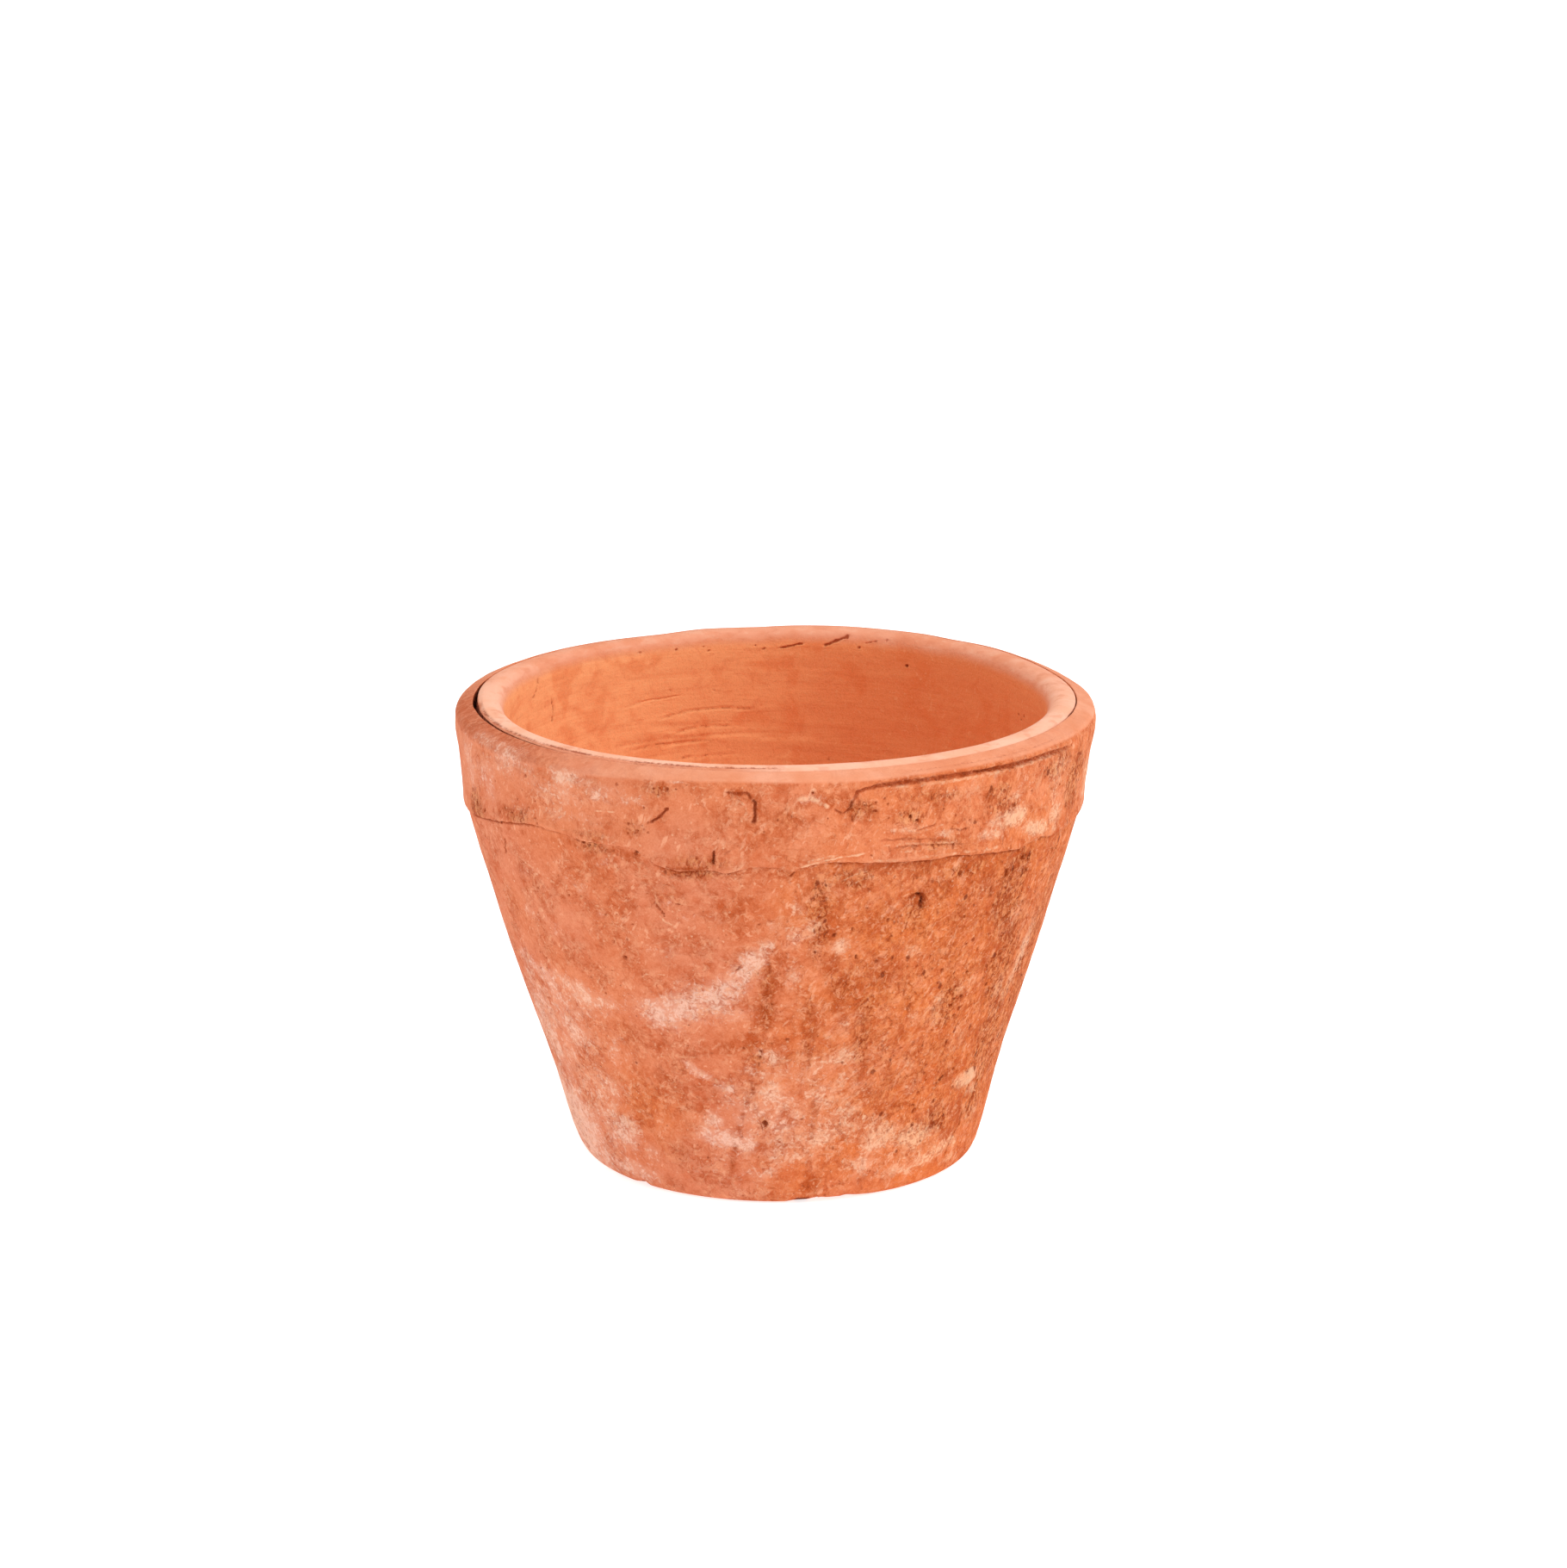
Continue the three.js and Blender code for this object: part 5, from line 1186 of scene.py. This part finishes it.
bv = np.array([0, be["tip"], be["face"], be["top"], be["seam"], be["seam"] + 6, be["back"], band.length])
bw = np.array([1.3, 1.3, 1.2, 1.2, 0.8, 0.3, 1.0])
bk = np.concatenate([[0], np.cumsum(np.diff(bv) * bw)])
bk /= bk[-1]
rim = bg.mesh(
    "rim_band_visual",
    co,
    {"burrs_and_highlight": burrs_and_highlight, "bloom_and_highlight": bloom_and_highlight, "dirt_and_shade": dirt_and_shade, "stain_and_shade": stain_and_shade, "orange": orange, "smoothed_and_lit": smoothed_and_lit, "inside": np.zeros(len(a)), "pitted": pitted, "stria": np.zeros(len(a))},
    lambda q: np.interp(q, bv, bk),
)
print("triangles", body_faces, len(bg.quads) * 2 + len(bg.tris))


# ---------------------------------------------------------------- materials
class Nodes:
    """Short names for building a node tree."""

    def __init__(self, name):
        self.mat = bpy.data.materials.new(name)
        self.mat.use_nodes = True
        self.t = self.mat.node_tree
        self.t.nodes.clear()
        self.co = self.new("ShaderNodeTexCoord").outputs["Object"]

    def new(self, kind, **props):
        n = self.t.nodes.new(kind)
        for k, v in props.items():
            setattr(n, k, v)
        return n

    def put(self, socket, value):
        if isinstance(value, bpy.types.NodeSocket):
            self.t.links.new(value, socket)
        else:
            socket.default_value = value

    def attr(self, name):
        return self.new("ShaderNodeAttribute", attribute_name=name).outputs["Fac"]

    def math(self, op, a, b=None, c=None, clamp=False):
        n = self.new("ShaderNodeMath", operation=op, use_clamp=clamp)
        self.put(n.inputs[0], a)
        if b is not None:
            self.put(n.inputs[1], b)
        if c is not None:
            self.put(n.inputs[2], c)
        return n.outputs[0]

    def add(self, a, b, clamp=False):
        return self.math("ADD", a, b, clamp=clamp)

    def mul(self, a, b, clamp=False):
        return self.math("MULTIPLY", a, b, clamp=clamp)

    def stretch(self, vec, scale, turn=(0, 0, 0)):
        """Turns first and then scales: a scale under 1 makes marks longer along that turned axis."""
        n = self.new("ShaderNodeMapping")
        n.vector_type = "TEXTURE"
        self.put(n.inputs["Vector"], vec)
        n.inputs["Rotation"].default_value = [math.radians(v) for v in turn]
        n.inputs["Scale"].default_value = [1.0 / v for v in scale]
        return n.outputs[0]

    def noise(self, size_mm, detail=2.0, rough=0.55, vec=None, distort=0.0, where=None):
        n = self.new("ShaderNodeTexNoise")
        self.put(n.inputs["Vector"], vec if vec is not None else self.co)
        n.inputs["Scale"].default_value = 1000.0 / size_mm
        n.inputs["Detail"].default_value = detail
        n.inputs["Roughness"].default_value = rough
        n.inputs["Distortion"].default_value = distort
        return n.outputs[0]

    def cells(self, size_mm, vec=None, feature="F1", random=1.0):
        n = self.new("ShaderNodeTexVoronoi", feature=feature)
        self.put(n.inputs["Vector"], vec if vec is not None else self.co)
        n.inputs["Scale"].default_value = 1000.0 / size_mm
        n.inputs["Randomness"].default_value = random
        return n

    def ramp(self, x, a, b, lo=0.0, hi=1.0, kind="SMOOTHSTEP"):
        n = self.new("ShaderNodeMapRange", interpolation_type=kind)
        self.put(n.inputs["Value"], x)
        self.put(n.inputs["From Min"], a)
        self.put(n.inputs["From Max"], b)
        self.put(n.inputs["To Min"], lo)
        self.put(n.inputs["To Max"], hi)
        return n.outputs[0]

    def mix(self, f, a, b, mode="MIX"):
        n = self.new("ShaderNodeMix", data_type="RGBA", blend_type=mode)
        self.put(n.inputs["Factor"], f)
        self.put(n.inputs[6], a)
        self.put(n.inputs[7], b)
        return n.outputs[2]

    def shift(self, vec, by):
        n = self.new("ShaderNodeVectorMath", operation="ADD")
        self.put(n.inputs[0], vec)
        n.inputs[1].default_value = by
        return n.outputs[0]


def lin(r, g, b):
    f = lambda c: c / 12.92 if c <= 0.04045 else ((c + 0.055) / 1.055) ** 2.4
    return (f(r / 255), f(g / 255), f(b / 255), 1.0)


EXPOSE = 0.84  # the clay's own colour against how it looks in this light


def clay(r, g, b):
    """A colour as it looks on the outside of the pot."""
    return tuple(min(v * EXPOSE, 0.93) for v in lin(r, g, b)[:3]) + (1.0,)


def inner_clay(r, g, b):
    """A colour as it looks inside, where less light comes in and red bounces about."""
    c = lin(r, g, b)
    return (min(c[0] * 1.16, 0.93), min(c[1] * 1.5, 0.9), min(c[2] * 1.5, 0.9), 1.0)


def make_clay(name, is_band):
    n = Nodes(name)
    bloom_and_highlight, dirt_and_shade, stain_and_shade, burrs_and_highlight = n.attr("bloom_and_highlight"), n.attr("dirt_and_shade"), n.attr("stain_and_shade"), n.attr("burrs_and_highlight")
    orange, smoothed_and_lit, inside = n.attr("orange"), n.attr("smoothed_and_lit"), n.attr("inside")
    pitted, stria = n.attr("pitted"), n.attr("stria")
    xyz = n.new("ShaderNodeSeparateXYZ")
    n.put(xyz.inputs[0], n.co)

    big = n.noise(36, 2, 0.5)
    zone = n.noise(15, 3, 0.55, distort=0.5)
    mid = n.noise(5.6, 5, 0.7, distort=0.7)
    small = n.noise(2.4, 4, 0.7, distort=0.8)
    tiny = n.noise(1.15, 2, 0.6)
    grain = n.noise(0.5, 1, 0.5)
    outside = n.math("SUBTRACT", 1.0, inside, clamp=True)
    raw = n.math("SUBTRACT", 1.0, n.mul(smoothed_and_lit, 0.85), clamp=True)
    raw_out = n.mul(raw, outside)
    weather = n.mul(n.ramp(pitted, 0.1, 0.9), raw_out)
    # how lively the surface is: calm on the left, rough on the right, and patchy everywhere
    patchy = n.ramp(n.noise(11, 3, 0.6, n.shift(n.co, (0.2, 0.13, 0.07))), 0.4, 0.6)
    lively = n.add(n.mul(patchy, 0.5 if is_band else 0.65), n.add(n.mul(weather, 0.7), 0.15 if is_band else 0.28), clamp=True)
    middle = n.mul(n.ramp(orange, 0.12, 0.3), 0.2)
    lively = n.mul(n.add(lively, middle, clamp=True), raw_out)

    # fired clay: pink on the left of the pot, orange on the right
    pink = clay(226, 135, 98) if is_band else clay(225, 132, 95)
    warm = clay(231, 129, 78) if is_band else clay(228, 121, 62)
    tone = n.add(orange, n.mul(n.math("SUBTRACT", big, 0.5), 1.6), clamp=True)
    col = n.mix(tone, pink, warm)
    # broad mottling
    col = n.mix(n.ramp(zone, 0.5, 0.66, 0.0, 0.4), col, clay(208, 96, 50))
    col = n.mix(n.ramp(zone, 0.48, 0.34, 0.0, 0.26), col, clay(240, 148, 108))
    col = n.mix(n.mul(n.ramp(mid, 0.5, 0.61, 0.0, 0.62), lively), col, clay(200, 88, 42))
    col = n.mix(n.mul(n.ramp(mid, 0.48, 0.37, 0.0, 0.42), n.add(n.mul(lively, 0.7), 0.3)), col, clay(245, 158, 118))
    # short pale strokes, leaning right
    stroke = n.noise(1.7, 2, 0.6, n.stretch(n.co, (1.0, 1.0, 0.3), (0, 30, 0)), 0.4)
    stroke = n.mul(n.ramp(stroke, 0.58, 0.66), n.ramp(n.noise(9, 2, 0.5, n.shift(n.co, (0.11, 0.2, 0.05))), 0.46, 0.58))
    col = n.mix(n.mul(stroke, n.mul(raw_out, 0.6)), col, clay(253, 180, 142))
    # upright fibres on the weathered side
    fibre = n.noise(1.9, 4, 0.66, n.stretch(n.co, (1.0, 1.0, 0.42), (0, 5, 0)), 0.6)
    col = n.mix(n.mul(n.ramp(fibre, 0.5, 0.6), n.mul(weather, 0.66)), col, clay(190, 78, 24))
    col = n.mix(n.mul(n.ramp(fibre, 0.47, 0.37), n.mul(weather, 0.6)), col, clay(252, 166, 110))

    # brown staining, with painted shade under the band's ledge, along the fold and at the band's lower edge
    g_noise = n.add(n.mul(n.noise(4.2, 3, 0.6, n.stretch(n.co, (1, 1, 0.55)), 0.6), 0.55), n.mul(n.noise(1.5, 3, 0.6, n.stretch(n.co, (1, 1, 0.6)), 0.3), 0.45))
    g_amt = n.ramp(n.add(stain_and_shade, n.mul(n.math("SUBTRACT", g_noise, 0.5), 3.4)), 0.1, 1.15, 0.0, 0.85)
    g_amt = n.mul(g_amt, n.mul(n.ramp(stain_and_shade, 0.02, 0.3), raw))
    col = n.mix(g_amt, col, clay(184, 74, 22))

    # lime bloom: a soft haze with pale grains in it, thickest in the middle of each patch; one patch on the band is a
    # painted highlight
    b_big = n.noise(7.5, 3, 0.55, n.stretch(n.co, (1, 1, 0.75), (0, 40, 0)), 0.6)
    b_mid = n.noise(2.1, 4, 0.68, distort=0.9)
    b_fine = n.noise(0.9, 2, 0.6, n.shift(n.co, (0.31, 0.12, 0.4)))
    b_val = n.add(n.mul(n.math("SUBTRACT", b_big, 0.5), 1.3), n.mul(n.math("SUBTRACT", b_mid, 0.5), 4.0))
    b_val = n.add(bloom_and_highlight, n.add(b_val, n.mul(n.math("SUBTRACT", b_fine, 0.5), 1.8)))
    gate = n.ramp(bloom_and_highlight, 0.02, 0.35)
    haze = n.ramp(n.add(bloom_and_highlight, n.mul(n.math("SUBTRACT", b_big, 0.5), 1.5)), 0.05, 1.2, 0.0, 0.6)
    b_amt = n.mul(n.add(haze, n.ramp(b_val, 0.4, 1.2, 0.0, 0.7), clamp=True), gate)
    b_amt = n.mul(b_amt, raw)
    pale = n.mix(n.add(n.mul(orange, 0.8), n.mul(n.math("SUBTRACT", big, 0.5), 1.2), clamp=True), clay(249, 194, 170), clay(251, 188, 146))
    col = n.mix(b_amt, col, pale)

    # finer mottling where the surface is lively
    col = n.mix(n.mul(n.ramp(small, 0.52, 0.62, 0.0, 0.62), lively), col, clay(194, 84, 38))
    col = n.mix(n.mul(n.ramp(small, 0.47, 0.37, 0.0, 0.52), lively), col, clay(252, 174, 132))
    # isolated dark and pale grains
    def grains(size, seed, share, r, colour, amount, mask, base_col, where=None):
        cell = n.cells(size, n.shift(n.co, (seed, 0.4 * seed, 0.9 * seed)))
        rnd = n.new("ShaderNodeSeparateColor")
        n.put(rnd.inputs[0], cell.outputs["Color"])
        have = n.ramp(n.add(rnd.outputs[0], share), 1.0, 1.05)
        dist = n.add(cell.outputs["Distance"], n.mul(n.math("SUBTRACT", tiny, 0.5), 0.55))
        blob_ = n.mul(n.ramp(dist, r, r * 0.45), n.mul(have, n.ramp(rnd.outputs[1], 0.0, 1.0, 0.4, 1.0, "LINEAR")))
        blob_ = n.mul(blob_, mask)
        return n.mix(n.mul(blob_, amount), base_col, colour), blob_

    col, s1 = grains(2.3, 0.21, n.add(n.mul(lively, 0.22), 0.06), 0.2, clay(160, 66, 26), 0.7, raw_out, col)
    col, s2 = grains(1.9, 0.57, n.add(n.mul(lively, 0.3), 0.08), 0.24, clay(255, 190, 152), 0.62, raw_out, col)

    # inside: redder to the right, with soft thrown lines
    lines = n.noise(7.5, 2, 0.5, n.stretch(n.co, (0.22, 0.22, 1.6)), 0.3)
    fine_lines = n.noise(2.6, 2, 0.6, n.stretch(n.co, (0.1, 0.1, 1.5)), 0.2)
    across_x = n.ramp(n.add(xyz.outputs[0], n.mul(n.math("SUBTRACT", big, 0.5), 0.06)), -0.075, 0.05)
    in_col = n.mix(across_x, inner_clay(233, 143, 97), inner_clay(214, 113, 70))
    in_col = n.mix(n.ramp(zone, 0.51, 0.64, 0.0, 0.4), in_col, inner_clay(206, 92, 46))
    in_col = n.mix(n.ramp(lines, 0.52, 0.66, 0.0, 0.1), in_col, inner_clay(204, 92, 52))
    in_col = n.mix(n.ramp(lines, 0.48, 0.34, 0.0, 0.1), in_col, inner_clay(244, 144, 98))
    in_col = n.mix(n.ramp(fine_lines, 0.6, 0.68, 0.0, 0.14), in_col, inner_clay(196, 86, 46))
    in_col = n.mix(n.ramp(mid, 0.52, 0.66, 0.0, 0.26), in_col, inner_clay(206, 98, 60))
    in_col = n.mix(n.ramp(small, 0.58, 0.68, 0.0, 0.3), in_col, inner_clay(200, 90, 52))
    in_col = n.mix(n.ramp(small, 0.4, 0.32, 0.0, 0.3), in_col, inner_clay(248, 158, 114))
    col = n.mix(inside, col, in_col)
    # the smoothed lip: paler clay, with a painted highlight that is brightest at the front
    lip_back = n.ramp(xyz.outputs[1], -0.03, 0.07)
    lip_a = n.mix(lip_back, clay(264, 202, 172), clay(244, 166, 132))
    lip_b = n.mix(lip_back, clay(258, 188, 154), clay(238, 152, 114))
    lip_col = n.mix(n.ramp(n.noise(13, 3, 0.55), 0.4, 0.62), lip_a, lip_b)
    wiped = n.noise(2.8, 4, 0.6, n.stretch(n.co, (0.45, 0.45, 1.6)), 0.3)
    lip_col = n.mix(n.ramp(wiped, 0.52, 0.66, 0.0, 0.34), lip_col, clay(224, 132, 94))
    lip_col = n.mix(n.ramp(wiped, 0.48, 0.34, 0.0, 0.3), lip_col, clay(250, 196, 166))
    if is_band:
        lip_col = n.mix(n.ramp(n.noise(10, 3, 0.5), 0.3, 0.7, 0.35, 0.75), lip_col, clay(236, 146, 104))
    col = n.mix(n.mul(smoothed_and_lit, 0.95), col, lip_col)

    # fine diagonal tool lines, leaning right
    st = n.noise(0.8, 1, 0.5, n.stretch(n.co, (1.2, 0.5, 0.26), (0, 52, 0)), 0.25)
    st_amt = n.mul(stria, n.ramp(n.noise(12, 2, 0.5), 0.44, 0.54))
    col = n.mix(n.mul(n.mul(n.ramp(st, 0.5, 0.62), st_amt), 0.2), col, clay(196, 84, 34))
    col = n.mix(n.mul(n.mul(n.ramp(st, 0.5, 0.38), st_amt), 0.15), col, clay(252, 166, 114))

    # crumbly pitting: ragged brown hollows with pale edges, in clusters
    crumb = n.noise(1.6, 4, 0.66, n.stretch(n.co, (1.1, 1.1, 0.72)), 1.0)
    cluster = n.ramp(n.add(n.noise(7.5, 3, 0.6, n.shift(n.co, (0.15, 0.05, 0.3))), n.mul(pitted, 0.22)), 0.5, 0.66)
    pit_zone = n.mul(n.mul(n.ramp(pitted, 0.1, 0.75), cluster), raw_out)
    hollow = n.mul(n.ramp(n.add(crumb, n.mul(pitted, 0.05)), 0.55, 0.63), pit_zone)
    edge = n.mul(n.ramp(crumb, 0.5, 0.41), pit_zone)
    col = n.mix(n.mul(edge, 0.42), col, clay(252, 168, 112))
    col = n.mix(n.mul(hollow, 0.7), col, clay(182, 74, 22))
    col = n.mix(n.mul(n.ramp(crumb, 0.59, 0.67), n.mul(pit_zone, 0.85)), col, clay(132, 44, 8))
    # a few round pores
    cell = n.cells(3.0, n.stretch(n.shift(n.co, (0.37, 0.11, 0.26)), (1.2, 1.2, 0.65)))
    rnd = n.new("ShaderNodeSeparateColor")
    n.put(rnd.inputs[0], cell.outputs["Color"])
    have = n.ramp(n.add(rnd.outputs[0], n.ramp(pitted, 0.1, 1.0, 0.0, 0.62, "LINEAR")), 1.0, 1.1)
    radius = n.ramp(rnd.outputs[1], 0.0, 1.0, 0.11, 0.33, "LINEAR")
    dist = n.add(cell.outputs["Distance"], n.mul(n.math("SUBTRACT", small, 0.5), 0.9))
    pore = n.mul(n.mul(n.ramp(n.math("SUBTRACT", radius, dist), -0.03, 0.16), have), raw_out)
    col = n.mix(n.mul(pore, 0.85), col, clay(132, 44, 8))

    # pale burrs, partly a painted highlight
    c_val = n.add(burrs_and_highlight, n.mul(n.math("SUBTRACT", small, 0.5), 1.6))
    c_amt = n.mul(n.ramp(c_val, 0.25, 0.8), n.ramp(burrs_and_highlight, 0.02, 0.25))
    col = n.mix(n.mul(c_amt, 0.8), col, clay(254, 196, 156))
    # dirt held in cuts and cracks, and painted shade in cuts, pits, the open seam, the foot chips and under the band's
    # ledge
    d_val = n.add(dirt_and_shade, n.mul(n.math("SUBTRACT", tiny, 0.5), 1.0))
    shallow = n.mul(n.ramp(d_val, 0.08, 0.7), n.ramp(dirt_and_shade, 0.02, 0.15))
    deep = n.mul(n.ramp(d_val, 0.78, 1.08), n.ramp(dirt_and_shade, 0.62, 0.86))
    col = n.mix(n.mul(shallow, 0.82), col, clay(166, 64, 20))
    col = n.mix(n.mul(deep, 0.92), col, clay(78, 23, 6))
    # grain
    col = n.mix(n.mul(n.ramp(grain, 0.5, 0.75, 0.0, 0.14), raw), col, clay(180, 80, 38))
    col = n.mix(n.mul(n.ramp(grain, 0.5, 0.25, 0.0, 0.12), raw), col, clay(255, 190, 150))

    # relief, in millimetres
    h = n.mul(n.mul(n.math("SUBTRACT", grain, 0.5), raw), 0.08)
    h = n.add(h, n.mul(n.mul(n.math("SUBTRACT", tiny, 0.5), lively), -0.25))
    h = n.add(h, n.mul(n.mul(n.math("SUBTRACT", small, 0.5), n.add(n.mul(lively, 0.8), 0.15)), -0.9))
    h = n.add(h, n.mul(n.mul(n.math("SUBTRACT", mid, 0.5), n.add(n.mul(lively, 0.8), 0.15)), -1.5))
    h = n.add(h, n.mul(n.mul(n.math("SUBTRACT", fibre, 0.5), weather), -0.7))
    h = n.add(h, n.mul(s1, -0.14))
    h = n.add(h, n.mul(s2, 0.1))
    h = n.add(h, n.mul(n.mul(n.math("SUBTRACT", crumb, 0.5), pit_zone), -0.9))
    h = n.add(h, n.mul(hollow, -0.06))
    h = n.add(h, n.mul(pore, -0.22))
    h = n.add(h, n.mul(n.mul(n.math("SUBTRACT", st, 0.5), st_amt), -0.45))
    h = n.add(h, n.mul(n.mul(n.math("SUBTRACT", lines, 0.5), inside), -0.4))
    h = n.add(h, n.mul(n.mul(n.math("SUBTRACT", fine_lines, 0.5), inside), -0.12))
    h = n.add(h, n.mul(b_amt, 0.1))
    h = n.add(h, n.mul(shallow, -0.15))
    bump = n.new("ShaderNodeBump")
    bump.inputs["Strength"].default_value = 1.0
    bump.inputs["Distance"].default_value = 0.001
    n.put(bump.inputs["Height"], h)

    rough = n.ramp(mid, 0.3, 0.7, 0.84, 0.97, "LINEAR")
    rough = n.math("SUBTRACT", rough, n.mul(smoothed_and_lit, 0.14))
    rough = n.add(rough, n.mul(shallow, 0.05), clamp=True)

    bsdf = n.new("ShaderNodeBsdfPrincipled")
    n.put(bsdf.inputs["Base Color"], col)
    n.put(bsdf.inputs["Roughness"], rough)
    n.put(bsdf.inputs["Normal"], bump.outputs[0])
    bsdf.inputs["Specular IOR Level"].default_value = 0.1
    out = n.new("ShaderNodeOutputMaterial")
    n.t.links.new(bsdf.outputs[0], out.inputs[0])
    return n.mat


pot.data.materials.append(make_clay("fired_clay", False))
rim.data.materials.append(make_clay("fired_clay_band", True))
for piece, node, slot in ((pot, "pot_body", "fired_clay"), (rim, "rim_band", "fired_clay_band")):
    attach(piece, "root")
    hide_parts(node)

# ---------------------------------------------------------------- floor and light
floor_mesh = bpy.data.meshes.new("floor")
floor_mesh.from_pydata([(-30, -30, 0), (30, -30, 0), (30, 30, 0), (-30, 30, 0)], [], [(0, 1, 2, 3)])
floor = bpy.data.objects.new("floor", floor_mesh)
floor.location = (0, 0, -0.00015)
scene.collection.objects.link(floor)
fm = bpy.data.materials.new("floor_paper")
fm.use_nodes = True
fb = fm.node_tree.nodes["Principled BSDF"]
fb.inputs["Base Color"].default_value = (0.6, 0.6, 0.6, 1)
fb.inputs["Roughness"].default_value = 0.9
fb.inputs["Specular IOR Level"].default_value = 0.1
fb.inputs["Emission Color"].default_value = (1.0, 1.0, 1.0, 1)
fb.inputs["Emission Strength"].default_value = 0.72
floor.data.materials.append(fm)

world = bpy.data.worlds.new("studio")
world.use_nodes = True
world.node_tree.nodes["Background"].inputs["Color"].default_value = (1.0, 1.0, 1.0, 1)
world.node_tree.nodes["Background"].inputs["Strength"].default_value = 0.74
scene.world = world


def sun(name, strength, angle, tilt, turn, colour=(1, 1, 1)):
    """tilt is down from overhead, and turn is where it comes from, from the front (-Y) to the right."""
    data = bpy.data.lights.new(name, "SUN")
    data.energy = strength
    data.angle = math.radians(angle)
    data.color = colour
    ob = bpy.data.objects.new(name, data)
    ob.rotation_euler = (math.radians(tilt), 0, math.radians(turn))
    scene.collection.objects.link(ob)
    return ob


sun("key_right", 1.45, 40, 52, 62)
sun("fill_left", 0.55, 50, 58, -65)
sun("top_back", 0.4, 50, 24, 150)

scene.view_settings.view_transform = "Standard"
scene.view_settings.look = "None"
scene.view_settings.exposure = 0.0
scene.view_settings.gamma = 1.0
